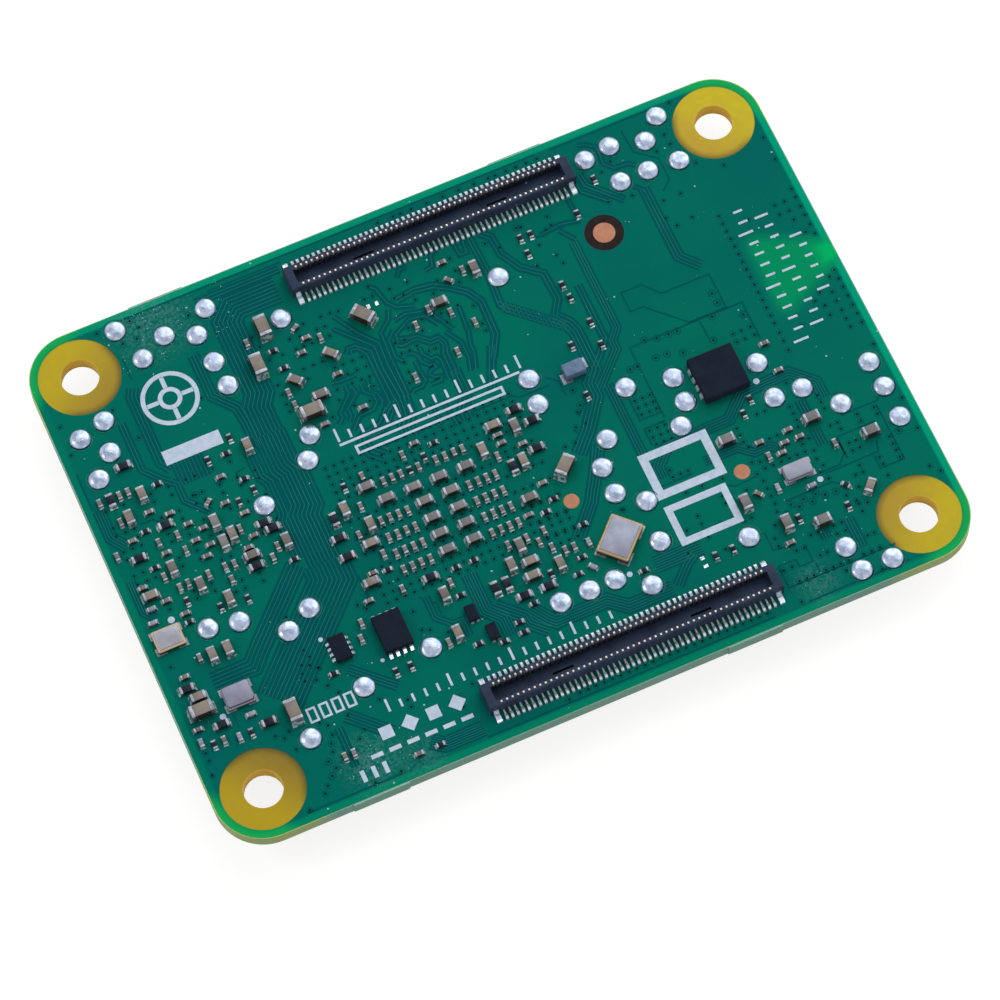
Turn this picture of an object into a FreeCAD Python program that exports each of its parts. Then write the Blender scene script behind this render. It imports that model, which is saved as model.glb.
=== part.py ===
"""System on module: a 55 x 40 mm computer board with two mezzanine connectors.

Millimetres. +Z is up, out of the connector face. The origin is under the board's centre, on the
flat top of the processor's heat spreader, which is the module's lowest face.
"""
import FreeCAD
import Part

import os
from collections import namedtuple

# Board
board_length = 55.0
board_width = 40.0
board_thickness = 1.2
corner_radius = 3.5
hole_inset = 3.5
hole_diameter = 2.7
bare_ring_diameter = 5.8
mask_thickness = 0.03
mask_edge_gap = 0.06
tab_stub_proud = 0.08
tab_stub_length = 4.0
tab_stub_root = 0.1
tab_stub_xs = (-17.0, 10.2)

# Mezzanine connectors
connector_x = 2.5
connector_inset = 3.0
connector_pins_per_row = 50
connector_pitch = 0.4
housing_end_wall = 0.62
housing_end_room = 0.32
housing_width = 1.88
housing_height = 1.08
housing_floor = 0.22
housing_edge_chamfer = 0.06
trench_width = 1.04
contact_width = 0.18
contact_thickness = 0.13
contact_clearance = 0.01
contact_proud = 0.01
contact_depth = 0.12
contact_bulge = 0.04
tail_reach = 1.55
tail_thickness = 0.10
tail_solder_reach = 1.71
tail_solder_width = 0.22
floor_slot_length = 1.5
floor_slot_width = 0.15
floor_slot_offset = 5.05
hold_down_width = 0.36
hold_down_gap = 0.16
hold_down_height = 0.55
hold_down_foot = 0.20

# Chip parts: length, width, height, length of an end cap, reach of the solder at each end
small_chip_length = 0.62
small_chip_width = 0.32
small_chip_height = 0.28
small_chip_cap = 0.15
small_chip_solder = 0.09
small_resistor_height = 0.22
medium_chip_length = 1.06
medium_chip_width = 0.58
medium_chip_height = 0.50
medium_chip_cap = 0.20
medium_chip_solder = 0.14
medium_resistor_length = 1.02
medium_resistor_width = 0.52
medium_resistor_height = 0.34
thick_chip_length = 1.12
thick_chip_width = 0.66
thick_chip_height = 0.62
large_chip_length = 1.60
large_chip_width = 0.86
large_chip_height = 0.82
large_chip_cap = 0.26
large_chip_solder = 0.20
cap_edge_chamfer = 0.03
solder_extra_width = 0.04
bare_pad_length = 0.24

# The small chips' places were read at their tops in a slanted view, which lie this far from
# their feet.
lean_x = 0.05
lean_y = 0.12

# Chips with leads, on the connector face
package_standoff = 0.05
lead_inset = 0.3
package_corner = 0.04
package_chamfer = 0.05
power_switch_place = (16.0, -1.55)
power_switch_size = 3.3
power_switch_height = 0.85
power_switch_pitch = 0.65
flash_place = (-11.85, -9.85)
flash_width = 2.0
flash_length = 2.7
flash_height = 0.75
flash_pitch = 0.5
shifter_place = (-15.5, -9.46)
shifter_width = 1.15
shifter_length = 1.85
shifter_height = 0.5
shifter_pitch = 0.4
transistor_places = ((-6.47, -10.77), (-5.71, -12.58))
transistor_width = 0.72
transistor_length = 1.16
transistor_height = 0.42
transistor_pitch = 0.4

# Timing parts: length, width, height of the base, then the lid's margin and thickness
crystal_a_place = (-25.71, -4.10)
crystal_a_length = 2.0
crystal_a_width = 1.6
crystal_a_height = 0.42
crystal_b_place = (-23.01, -9.78)
crystal_b_length = 2.0
crystal_b_width = 1.6
crystal_b_height = 0.30
crystal_c_place = (4.79, -9.96)
crystal_c_angle = 44.5
crystal_c_length = 2.9
crystal_c_width = 2.3
crystal_c_height = 0.60
oscillator_place = (17.86, -10.28)
oscillator_length = 2.0
oscillator_width = 1.2
oscillator_height = 0.24
seam_lid_margin = 0.13
seam_lid_thickness = 0.09
can_lid_margin = 0.05
can_lid_thickness = 0.30
timing_pad_share = 0.36
timing_pad_reach = 0.14

ferrite_place = (7.13, 2.86)
ferrite_length = 1.5
ferrite_width = 1.0
ferrite_height = 0.72
ferrite_pad_length = 0.74
ferrite_pad_reach = 0.29

dome_diameter = 1.48
dome_height = 0.36
silk_thickness = 0.02
silk_line = 0.18
target_place = (-18.92, 12.45)
target_radius = 2.05
target_inner_radius = 0.85
target_spoke_radius = 1.28
target_spoke_length = 0.82
target_line = 0.32
scale_pitch = 0.9
scale_line = 0.17
scale_short_share = 0.62

# Hidden face: place, length, width, height
processor_place = (-4.5, -2.3)
processor_size = 15.5
processor_die_length = 8.0
processor_die_width = 7.0
package_gap = 0.5
processor_height = 2.378
processor_substrate = 0.75
processor_standoff = 0.30
spreader_margin = 0.45
spreader_lip_width = 1.3
spreader_top = 0.55
memory_x = -6.0
memory_length = 15.0
memory_width = 10.0
memory_height = 1.1
controller_gap = 2.05
controller_y = 1.0
controller_size = 12.0
controller_height = 1.2
storage_gap = 1.2
storage_y = 6.6
storage_length = 11.5
storage_width = 13.0
storage_height = 1.0
ball_pitch = 1.3
ball_diameter = 0.42
ball_standoff = 0.25
ball_field_margin = 0.5
shield_gap = 0.85
shield_y = 6.6
shield_size = 9.0
shield_height = 1.5
shield_wall = 0.2
wireless_chip_size = 6.0
wireless_chip_height = 0.9
power_manager_place = (9.5, -7.2)
power_manager_size = 7.0
power_manager_height = 0.9
network_chip_place = (19.0, -7.6)
network_chip_size = 6.0
network_chip_height = 0.85
inductor_xs = (4.2, 8.0, 11.8, 15.6)
inductor_y = -14.2
inductor_size = 3.0
inductor_height = 1.2
coax_place = (24.9, -0.9)
coax_base_size = 2.6
coax_ring_diameter = 2.0
coax_pin_diameter = 0.4
coax_height = 1.2
coax_base_height = 0.35
coax_ring_wall = 0.18
coax_pin_height = 0.9
led_place = (-24.6, 10.4)
led_length = 1.6
led_width = 0.8
led_height = 0.6

face_z = processor_height + board_thickness
back_z = processor_height
hole_x = board_length / 2 - hole_inset
hole_y = board_width / 2 - hole_inset
hole_places = [(sx * hole_x, sy * hole_y) for sx in (-1, 1) for sy in (-1, 1)]
connector_y = board_width / 2 - connector_inset
processor_x, processor_y = processor_place
memory_place = (memory_x, processor_y + processor_size / 2 + package_gap + memory_width / 2)
controller_place = (processor_x - processor_size / 2 - controller_gap - controller_size / 2, controller_y)
storage_place = (processor_x + processor_size / 2 + storage_gap + storage_length / 2, storage_y)
shield_place = (storage_place[0] + storage_length / 2 + shield_gap + shield_size / 2, shield_y)

UP = FreeCAD.Vector(0, 0, 1)
ALONG = FreeCAD.Vector(1, 0, 0)

ChipSize = namedtuple("ChipSize", "length width height cap solder")
Lead = namedtuple("Lead", "reach width rise pitch")
POWER_SWITCH_LEAD = Lead(0.16, 0.40, 0.24, power_switch_pitch)
FLASH_LEAD = Lead(0.34, 0.24, 0.22, flash_pitch)
SHIFTER_LEAD = Lead(0.24, 0.20, 0.16, shifter_pitch)
TRANSISTOR_LEAD = Lead(0.10, 0.20, 0.12, transistor_pitch)
FLAT_CHIP_PAD = Lead(0.12, 0.26, 0.20, None)
SMALL_CAPACITOR = ChipSize(small_chip_length, small_chip_width, small_chip_height, small_chip_cap,
                           small_chip_solder)
SMALL_RESISTOR = SMALL_CAPACITOR._replace(height=small_resistor_height)
MEDIUM_CAPACITOR = ChipSize(medium_chip_length, medium_chip_width, medium_chip_height,
                            medium_chip_cap, medium_chip_solder)
MEDIUM_RESISTOR = MEDIUM_CAPACITOR._replace(length=medium_resistor_length,
                                            width=medium_resistor_width,
                                            height=medium_resistor_height)
THICK_CAPACITOR = MEDIUM_CAPACITOR._replace(length=thick_chip_length, width=thick_chip_width,
                                            height=thick_chip_height)
LARGE_CAPACITOR = ChipSize(large_chip_length, large_chip_width, large_chip_height, large_chip_cap,
                           large_chip_solder)

# Places on the connector face, from the board's centre. "Across" lies along X, "upright" along Y.
DOMES = [
    (-20.48, 18.76), (-17.51, 17.02), (-19.51, 16.01), (-15.42, 16.14), (-14.13, 17.81),
    (-15.13, 13.76), (-14.92, 11.73), (-23.72, 12.72), (-25.71, 12.10), (-24.20, 10.34),
    (-25.64, 8.79), (-9.67, 14.92), (5.32, 11.64), (14.52, 17.50), (16.53, 17.81),
    (19.01, 17.14), (20.54, 18.61), (16.11, 14.92), (18.23, 14.94), (20.54, 14.76),
    (-16.11, 2.33), (-11.26, 5.94), (-12.10, 4.23), (4.09, 3.60), (3.87, 1.59), (9.85, 0.27),
    (13.13, -0.41), (-23.01, -4.43), (-20.89, -4.85), (-16.25, -5.86), (-18.14, -6.84),
    (18.83, -1.74), (13.13, -2.39), (7.10, -2.75), (12.10, -3.95), (5.91, -4.55),
    (18.80, -4.62), (20.84, -4.74), (25.85, -4.85), (5.92, -6.66), (22.73, -6.90),
    (25.99, -6.94), (7.64, -8.05), (25.99, -9.42), (7.22, -11.13), (-9.89, -11.86),
    (-15.09, -12.62), (-0.69, -12.45), (1.43, -12.44), (3.34, -12.44), (5.42, -13.84),
    (12.82, -13.33), (-19.77, -14.53), (18.44, -16.68), (18.71, -18.62), (20.97, -18.69),
]
FIDUCIALS = [(13.43, 11.75, 0.78, 1.40), (3.01, -5.96, 0.54, 0.55), (14.45, -8.74, 0.55, 0.56)]

SMALL_CAPACITORS_UPRIGHT = [
    (-12.49, 14.18), (-7.69, 12.51), (-1.31, 10.62), (-0.06, 11.40), (3.32, 13.21),
    (1.28, 10.57), (-26.22, 7.14), (-24.77, 7.13), (-24.14, 7.14), (-25.43, 5.25),
    (-26.59, 2.98), (-23.63, 2.79), (-22.26, 2.81), (-22.17, 1.54), (-18.23, 1.50),
    (-24.23, 0.31), (-11.31, 9.51), (-11.26, 8.47), (-2.90, 7.01), (-6.06, 1.98),
    (-9.18, 1.66), (2.49, 9.18), (0.49, 7.61), (-23.55, -0.85), (-22.93, -0.77),
    (-21.43, -0.73), (-20.20, -0.70), (-19.55, -0.75), (-20.14, -1.74), (-16.99, -1.39),
    (-16.40, -0.74), (-24.27, -6.10), (-13.88, -9.29), (-10.15, -0.37), (-11.06, -2.28),
    (-10.10, -4.23), (-9.95, -7.11), (-6.82, -8.02), (-13.44, -8.25), (-2.19, -7.11),
    (-0.83, -7.14), (-0.18, -7.76), (-0.18, -0.77), (0.45, -7.11), (0.45, -8.46),
    (1.19, -9.04), (1.84, -9.04), (16.61, -8.41), (21.10, -9.34), (-25.01, -12.23),
    (-18.16, -16.61), (-17.51, -16.61), (-8.64, -11.95),
]
SMALL_CAPACITORS_ACROSS = [
    (-8.61, 12.89), (-9.32, 11.96), (2.21, 14.35), (-23.39, 5.18), (-22.16, 4.51),
    (-25.22, 3.65), (-21.29, 3.27), (-20.48, 2.58), (-23.46, 1.89), (-21.28, 1.93),
    (-18.41, 3.67), (-17.98, 5.60), (-17.51, 2.45), (-17.56, 0.64), (-20.48, 1.25),
    (-21.01, 0.55), (-25.88, 0.15), (-18.23, -0.04), (-7.68, 9.46), (-9.97, 6.31),
    (-7.08, 6.40), (-4.99, 2.47), (0.45, 0.68), (0.45, 0.03), (-24.76, -1.36),
    (-23.92, -2.74), (-25.71, -6.98), (-11.31, -5.22), (-12.33, -6.98), (-0.02, -5.65),
    (1.74, -0.61), (1.79, -3.86), (19.94, -0.54), (19.96, -2.79), (16.44, -7.19),
    (18.62, -7.13), (18.01, -7.90), (19.13, -7.91), (17.53, -8.52), (-26.31, -10.82),
    (15.22, -14.78), (-13.60, -18.42),
]
SMALL_CAPACITORS_TURNED = [(-9.02, 13.90, 30.0), (2.13, 12.91, -45.0), (-19.46, 4.18, 40.0),
                           (14.80, -10.63, -50.0)]
CAPACITOR_ROW_XS = (-8.00, -7.35, -6.71, -5.40, -4.12, -3.45, -2.78, -2.14)
CAPACITOR_ROW_Y = 0.72
CAPACITOR_FIELD_XS = (-9.30, -8.65, -8.00, -7.34, -2.80, -2.14, -1.50, -0.85)
CAPACITOR_FIELD_YS = (-1.93, -3.25, -4.54, -5.84)

SMALL_INDUCTORS_UPRIGHT = [(2.87, -9.15), (-23.98, -12.44), (-26.48, -11.79), (16.17, -10.77)]
SMALL_INDUCTORS_ACROSS = [(-25.89, -1.51), (-26.19, -2.49), (-22.70, -11.24), (18.32, -11.56)]
SMALL_INDUCTORS_TURNED = [(2.39, -10.89, -50.0)]

SMALL_RESISTORS_UPRIGHT = [
    (7.97, 13.81), (8.74, 13.81), (7.97, 12.50), (12.35, 13.92), (14.54, 15.94),
    (-18.29, 7.10), (-16.31, 8.05), (-17.51, 3.35), (-16.25, 3.81), (-4.76, 1.26),
    (-10.60, 1.40), (-6.03, 0.72), (9.15, 9.29), (9.24, 8.18), (9.75, 5.89), (9.75, 4.01),
    (7.83, 4.78), (7.25, 0.89), (-23.49, -1.95), (-21.57, -3.27), (-19.68, -3.46),
    (17.27, -3.97), (16.40, -4.80), (-25.73, -12.23), (-23.14, -12.46), (-12.68, -12.44),
    (-11.61, -12.44), (-0.37, -10.22), (10.24, -13.60), (11.51, -13.61), (16.51, -13.39),
    (19.94, -13.92),
]
SMALL_RESISTORS_ACROSS = [
    (-11.08, 12.91), (-10.88, 11.40), (-22.10, 6.91), (-16.96, 7.07), (-24.16, 3.95),
    (-16.56, 4.81), (-24.55, 1.20), (-3.76, 1.96), (-15.74, -2.10), (-23.92, -3.41),
    (-10.29, -5.40), (-6.05, -7.16), (-4.74, -7.16), (-6.57, -9.12), (2.02, -5.24),
    (1.14, -5.91), (3.04, -7.78), (1.98, -9.94), (1.28, -10.99), (-16.54, -10.84),
    (-6.85, -12.84), (-5.23, -13.41), (-3.76, -12.53), (-3.76, -13.32), (-2.31, -11.70),
    (5.40, -12.55), (-12.05, -18.39),
]
SMALL_RESISTORS_TURNED = [(20.45, -12.46, -50.0)]

MEDIUM_CAPACITORS_UPRIGHT = [
    (4.04, 12.86), (-23.40, 6.45), (-15.47, 6.84), (-24.82, 5.18), (-18.92, 1.19),
    (-23.55, 0.53), (-11.28, -0.29), (-1.00, -0.10), (1.73, 0.64), (-22.27, -1.38),
    (-15.74, -0.77), (-23.47, -6.40), (-22.34, -6.40), (-10.11, -2.00), (-7.59, -8.80),
    (-1.53, -7.63), (-2.64, -8.69), (-20.88, -3.05), (1.22, -1.95), (0.42, -9.93),
    (-7.89, -11.70),
]
MEDIUM_CAPACITORS_ACROSS = [
    (0.78, 11.45), (-9.43, 8.32), (0.39, 1.30), (-25.65, -0.75), (-18.29, -0.82),
    (-25.47, -8.83), (-10.63, -3.32), (-11.72, -5.96), (-1.36, -8.96), (-1.62, -9.99),
    (0.47, -4.66),
]
MEDIUM_CAPACITORS_TURNED = [(-7.58, 10.92, -45.0), (-10.58, 10.04, -45.0), (21.85, -13.37, 47.0)]
GREY_CAPACITORS_UPRIGHT = [(-19.66, 2.50), (-19.66, 0.85)]
GREY_CAPACITORS_ACROSS = [
    (-9.28, 0.66), (-8.36, -0.70), (-6.39, -0.70), (-4.47, -0.70), (-2.52, -0.70),
    (-6.08, -1.95), (-4.15, -1.95), (-6.08, -3.28), (-4.15, -3.28), (-6.08, -4.57),
    (-4.15, -4.57), (-6.08, -5.87), (-4.15, -5.87),
]
THICK_CAPACITORS_UPRIGHT = [(13.63, -11.05), (15.54, -13.53)]
THICK_CAPACITORS_ACROSS = [(14.42, -6.27), (20.39, -7.14), (23.64, -9.70), (17.83, -14.36)]
LARGE_CAPACITORS_UPRIGHT = [(-11.10, 14.65), (-12.50, 12.07), (-20.11, -12.42)]
LARGE_CAPACITORS_ACROSS = [(-10.45, 7.35), (-25.64, -9.85)]
LARGE_CAPACITORS_TURNED = [(-4.43, 12.63, -50.0), (3.59, -3.58, 42.5)]
MEDIUM_RESISTORS_UPRIGHT = [(-25.50, 6.90), (-12.20, -0.67), (-4.27, -9.80), (-3.43, -9.80),
                            (0.42, -2.05)]
MEDIUM_RESISTORS_ACROSS = [
    (-23.77, 8.96), (-22.78, 3.71), (-25.34, 2.13), (-16.66, 1.10), (-16.24, 0.50),
    (2.19, 1.86), (2.99, 0.61), (-18.28, -1.64), (-25.96, -7.96), (-12.44, -2.06),
    (-12.44, -3.54), (-7.95, -7.24), (2.45, -1.43), (-24.79, -11.26), (-21.86, -12.37),
    (-2.71, -11.06), (-0.95, -11.08),
]
BARE_PAD_PAIRS = [(-3.42, 13.37, 0.0), (9.34, -13.64, 90.0)]

# Places of print: pin-one dots, scales as (x, y, ticks, tick length, along x), frames, bars, boxes
SILK_DOTS = [(-25.02, -2.84, 0.24), (-24.50, -10.72, 0.22), (-16.43, -8.29, 0.16), (-13.23, -11.37, 0.14),
             (18.20, -3.00, 0.22), (4.37, -12.49, 0.20), (19.03, -11.44, 0.21)]
SILK_SCALES = [(-9.6, 4.6, 16, 1.05, True), (-14.2, -14.95, 19, 0.95, True), (22.9, -1.4, 13, 1.1, False),
               (24.4, -0.6, 11, 1.0, False), (25.9, 1.6, 6, 0.9, False)]
SILK_FRAMES = [(11.0, 0.72, 0.18, -3.3, 3.55), (5.1, 3.6, 0.60, 10.95, -6.60), (4.6, 3.1, 0.50, 10.75, -10.55)]
SILK_FRAMES += [(0.68, 1.1, 0.15, -19.0 + 0.9 * step, -13.05) for step in range(4)]
SILK_BARS = [(4.2, 1.1, -18.92, 8.36, 0.0), (13.4, silk_line, -3.0, 4.35, 0.0)]
SILK_BARS += [(0.9, 0.9, -15.0 + 1.7 * step, -16.2, 45.0 * (step % 2)) for step in range(4)]
SILK_BARS += [(0.85, 0.30, -16.2 + 1.3 * step, -17.45, 0.0) for step in range(6)]
SILK_BARS += [(0.30, 0.85, -17.6 + 0.8 * step, -18.45, 0.0) for step in range(3)]

# Places on the hidden face, where a plain but working set of chips stands in for the unseen one
HIDDEN_SMALL_XS = [-25.0 + 1.4 * step for step in range(7)]
HIDDEN_MEDIUM_ACROSS = [(x, y) for x in (-12.0, -10.0, -8.0, -2.0, 0.0, 2.0) for y in (-11.4, 17.6)]
HIDDEN_MEDIUM_UPRIGHT = [(5.4 + 1.8 * step, -1.6) for step in range(5)]
HIDDEN_MEDIUM_UPRIGHT += [(-14.1, -6.6 - 1.8 * step) for step in range(3)]
HIDDEN_LARGE_UPRIGHT = [(-6.0 + 2.4 * step, -14.2) for step in range(4)]
HIDDEN_SMALL_UPRIGHT = [(x, y) for x in HIDDEN_SMALL_XS for y in (8.4, -6.4)]
HIDDEN_RESISTORS_ACROSS = [(15.6 + 1.8 * step, y) for step in range(4) for y in (-2.0, -12.0)]
HIDDEN_RESISTORS_ACROSS += [(5.0 + 2.0 * step, y) for step in range(5) for y in (14.4, 15.6)]

nodes = {}


def add(name, *shapes):
    """Put solids into a named node."""
    for shape in shapes:
        nodes.setdefault(name, []).extend(shape.Solids)


def block(length, width, height, x=0.0, y=0.0, z=0.0, corner=0.0):
    """A box centred on (x, y) that stands on z, with its upright edges rounded."""
    shape = Part.makeBox(length, width, height, FreeCAD.Vector(x - length / 2, y - width / 2, z))
    if corner > 0.0:
        upright = [edge for edge in shape.Edges if abs(edge.tangentAt(edge.FirstParameter).z) > 0.9]
        shape = shape.makeFillet(corner, upright)
    return shape


def soften_top(shape, size):
    """Chamfer the edges that bound the highest flat face."""
    top = max(shape.Faces, key=lambda face: face.CenterOfMass.z)
    return shape.makeChamfer(size, top.Edges)


def disc(radius, height, x=0.0, y=0.0, z=0.0):
    """An upright cylinder that stands on z."""
    return Part.makeCylinder(radius, height, FreeCAD.Vector(x, y, z))


def profile_along_x(points, width, x=0.0):
    """Extrude a closed outline of (y, z) points by a width centred on x."""
    start = x - width / 2
    loop = [FreeCAD.Vector(start, y, z) for y, z in points]
    face = Part.Face(Part.makePolygon(loop + loop[:1]))
    return face.extrude(FreeCAD.Vector(width, 0, 0))


def profile_along_y(points, width, y=0.0):
    """Extrude a closed outline of (x, z) points by a width centred on y."""
    start = y - width / 2
    loop = [FreeCAD.Vector(x, start, z) for x, z in points]
    face = Part.Face(Part.makePolygon(loop + loop[:1]))
    return face.extrude(FreeCAD.Vector(0, width, 0))


def seat(shape, x, y, angle=0.0, back=False):
    """Copy a shape from its own frame to a place on the connector face or the hidden face."""
    turn = FreeCAD.Rotation(UP, angle)
    height = face_z
    if back:
        turn = FreeCAD.Rotation(ALONG, 180).multiply(turn)
        height = back_z
    spot = FreeCAD.Placement(FreeCAD.Vector(x, y, height), turn)
    copy = shape.copy()
    copy.Placement = spot.multiply(copy.Placement)
    return copy


def pair(shape):
    """A shape and its twin, turned half round the Z axis."""
    twin = shape.copy()
    twin.rotate(FreeCAD.Vector(0, 0, 0), UP, 180)
    return [shape, twin]


def rounded_plate(length, width, height, z, corner):
    """A flat plate with rounded corners, centred on the Z axis."""
    return block(length, width, height, 0.0, 0.0, z, corner)


def make_board():
    """Laminate, the mask on both faces, and the copper marks that the mask leaves open."""
    core_z = back_z + mask_thickness
    core_height = board_thickness - 2 * mask_thickness
    core = rounded_plate(board_length, board_width, core_height, core_z, corner_radius)
    stubs = []
    for x in tab_stub_xs:
        for side in (-1, 1):
            y = side * (board_width / 2 + tab_stub_proud / 2 - tab_stub_root)
            stubs.append(block(tab_stub_length, tab_stub_proud + 2 * tab_stub_root, core_height, x, y,
                               core_z))
    core = core.fuse(stubs)
    holes = [disc(hole_diameter / 2, board_thickness * 2, x, y, core_z - board_thickness / 2)
             for x, y in hole_places]
    add("board_laminate", core.cut(holes).removeSplitter())

    mask_corner = corner_radius - mask_edge_gap
    windows = [disc(bare_ring_diameter / 2, face_z * 2, x, y) for x, y in hole_places]
    fiducial_windows = [disc(window, face_z, x, y, face_z - board_thickness / 2)
                        for x, y, _, window in FIDUCIALS]
    for name, z, cuts in (("solder_mask_top", face_z - mask_thickness, windows + fiducial_windows),
                          ("solder_mask_bottom", back_z, windows)):
        sheet = rounded_plate(board_length - 2 * mask_edge_gap, board_width - 2 * mask_edge_gap,
                              mask_thickness, z, mask_corner)
        add(name, sheet.cut(cuts))
    for x, y, radius, _ in FIDUCIALS:
        add("fiducial_pads", disc(radius, mask_thickness, x, y, face_z - mask_thickness))


def make_domes():
    """Domes of solder on the test pads: each one is a low cap of a sphere."""
    radius = dome_diameter / 2
    sphere_radius = (radius ** 2 + dome_height ** 2) / (2 * dome_height)
    centre = FreeCAD.Vector(0, 0, dome_height - sphere_radius)
    ball = Part.makeSphere(sphere_radius, centre)
    keep = Part.makeBox(dome_diameter * 2, dome_diameter * 2, dome_height * 2,
                        FreeCAD.Vector(-dome_diameter, -dome_diameter, 0))
    dome = ball.common(keep)
    for x, y in DOMES:
        add("solder_domes", seat(dome, x, y))


def make_connector(name, y):
    """One 100-way mezzanine connector, with its long sides along X."""
    row_length = (connector_pins_per_row - 1) * connector_pitch
    trench_length = row_length + 2 * housing_end_room
    housing_length = trench_length + 2 * housing_end_wall
    notch_y = trench_width / 2 + contact_thickness + contact_depth
    housing = block(housing_length, housing_width, housing_height)
    housing = soften_top(housing, housing_edge_chamfer)
    trench = block(trench_length, trench_width, housing_height, z=housing_floor)
    cutters = [trench]
    for side in (-1, 1):
        cutters.append(block(floor_slot_length, floor_slot_width, housing_height, side * floor_slot_offset,
                             floor_slot_width / 2 - trench_width / 2, -housing_height / 2))
    passage = tail_thickness + 2 * contact_clearance
    inner_y = notch_y - contact_thickness - contact_clearance
    slot = [(inner_y, -0.1), (housing_width, -0.1), (housing_width, passage), (notch_y, passage),
            (notch_y, housing_height + 0.1), (trench_width / 2 - 0.05, housing_height + 0.1),
            (trench_width / 2 - 0.05, housing_floor), (inner_y, housing_floor)]
    outer_y = notch_y - contact_clearance
    back_y = outer_y - contact_thickness
    top = housing_height + contact_proud
    contact = [(tail_reach, 0.0), (tail_reach, tail_thickness), (outer_y, tail_thickness),
               (outer_y, top), (back_y, top), (back_y - contact_bulge, top - 0.10),
               (back_y - contact_bulge, top - 0.30), (back_y, top - 0.42), (back_y, 0.0)]
    rise = tail_solder_reach - tail_reach
    solder = [(tail_reach, 0.0), (tail_solder_reach, 0.0), (tail_reach + 0.7 * rise, tail_thickness),
              (tail_reach - 0.03, tail_thickness + 0.08), (tail_reach - 0.21, tail_thickness + 0.05),
              (tail_reach - 0.31, tail_thickness), (tail_reach, tail_thickness)]
    slot_width = contact_width + 2 * contact_clearance
    for index in range(connector_pins_per_row):
        x = index * connector_pitch - row_length / 2
        cutters += pair(profile_along_x(slot, slot_width, x))
        for shape in pair(profile_along_x(contact, contact_width, x)):
            add(name + "_contacts", seat(shape, connector_x, y))
        for shape in pair(profile_along_x(solder, tail_solder_width, x)):
            add("connector_tail_solder", seat(shape, connector_x, y))
    add(name + "_housing", seat(housing.cut(cutters), connector_x, y))

    hold_x = row_length / 2 + connector_pitch / 2 + hold_down_gap + hold_down_width / 2
    side_y = housing_width / 2
    foot = [(side_y, 0.0), (tail_solder_reach, 0.0), (tail_solder_reach - 0.05, hold_down_foot / 2),
            (tail_reach, hold_down_foot), (side_y + 0.12, hold_down_foot), (side_y + 0.05, hold_down_height),
            (side_y, hold_down_height)]
    for x in (-hold_x, hold_x):
        for shape in pair(profile_along_x(foot, hold_down_width, x)):
            add(name + "_hold_downs", seat(shape, connector_x, y))


def make_chip(size):
    """The body, the two end caps and the two solder fillets of a chip part, along X."""
    half = size.length / 2
    body = block(size.length - 2 * size.cap, size.width, size.height)
    long_edges = [edge for edge in body.Edges
                  if abs(edge.tangentAt(edge.FirstParameter).x) > 0.9
                  and edge.CenterOfMass.z > size.height / 2]
    body = body.makeChamfer(cap_edge_chamfer, long_edges)
    cap_outline = [(half - size.cap, 0.0), (half, 0.0), (half, size.height - cap_edge_chamfer),
                   (half - cap_edge_chamfer, size.height), (half - size.cap, size.height)]
    fillet_outline = [(half, 0.0), (half + size.solder, 0.0),
                      (half + size.solder * 0.45, size.height * 0.28), (half, size.height * 0.72)]
    caps = pair(profile_along_y(cap_outline, size.width))
    fillets = pair(profile_along_y(fillet_outline, size.width + solder_extra_width))
    return body, caps, fillets


def stamp_chips(body_node, cap_node, size, places, back=False):
    """Set a chip part down at each (x, y, angle) place."""
    body, caps, fillets = make_chip(size)
    for x, y, angle in places:
        add(body_node, seat(body, x, y, angle, back))
        for cap in caps:
            add(cap_node, seat(cap, x, y, angle, back))
        for fillet in fillets:
            add("chip_solder", seat(fillet, x, y, angle, back))


def lay_out(across, upright, turned=(), lean=False):
    """Join the lists of places into one list of (x, y, angle)."""
    places = [(x, y, 0.0) for x, y in across]
    places += [(x, y, 90.0) for x, y in upright]
    places += list(turned)
    if lean:
        places = [(x - lean_x, y - lean_y, angle) for x, y, angle in places]
    return places


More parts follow.
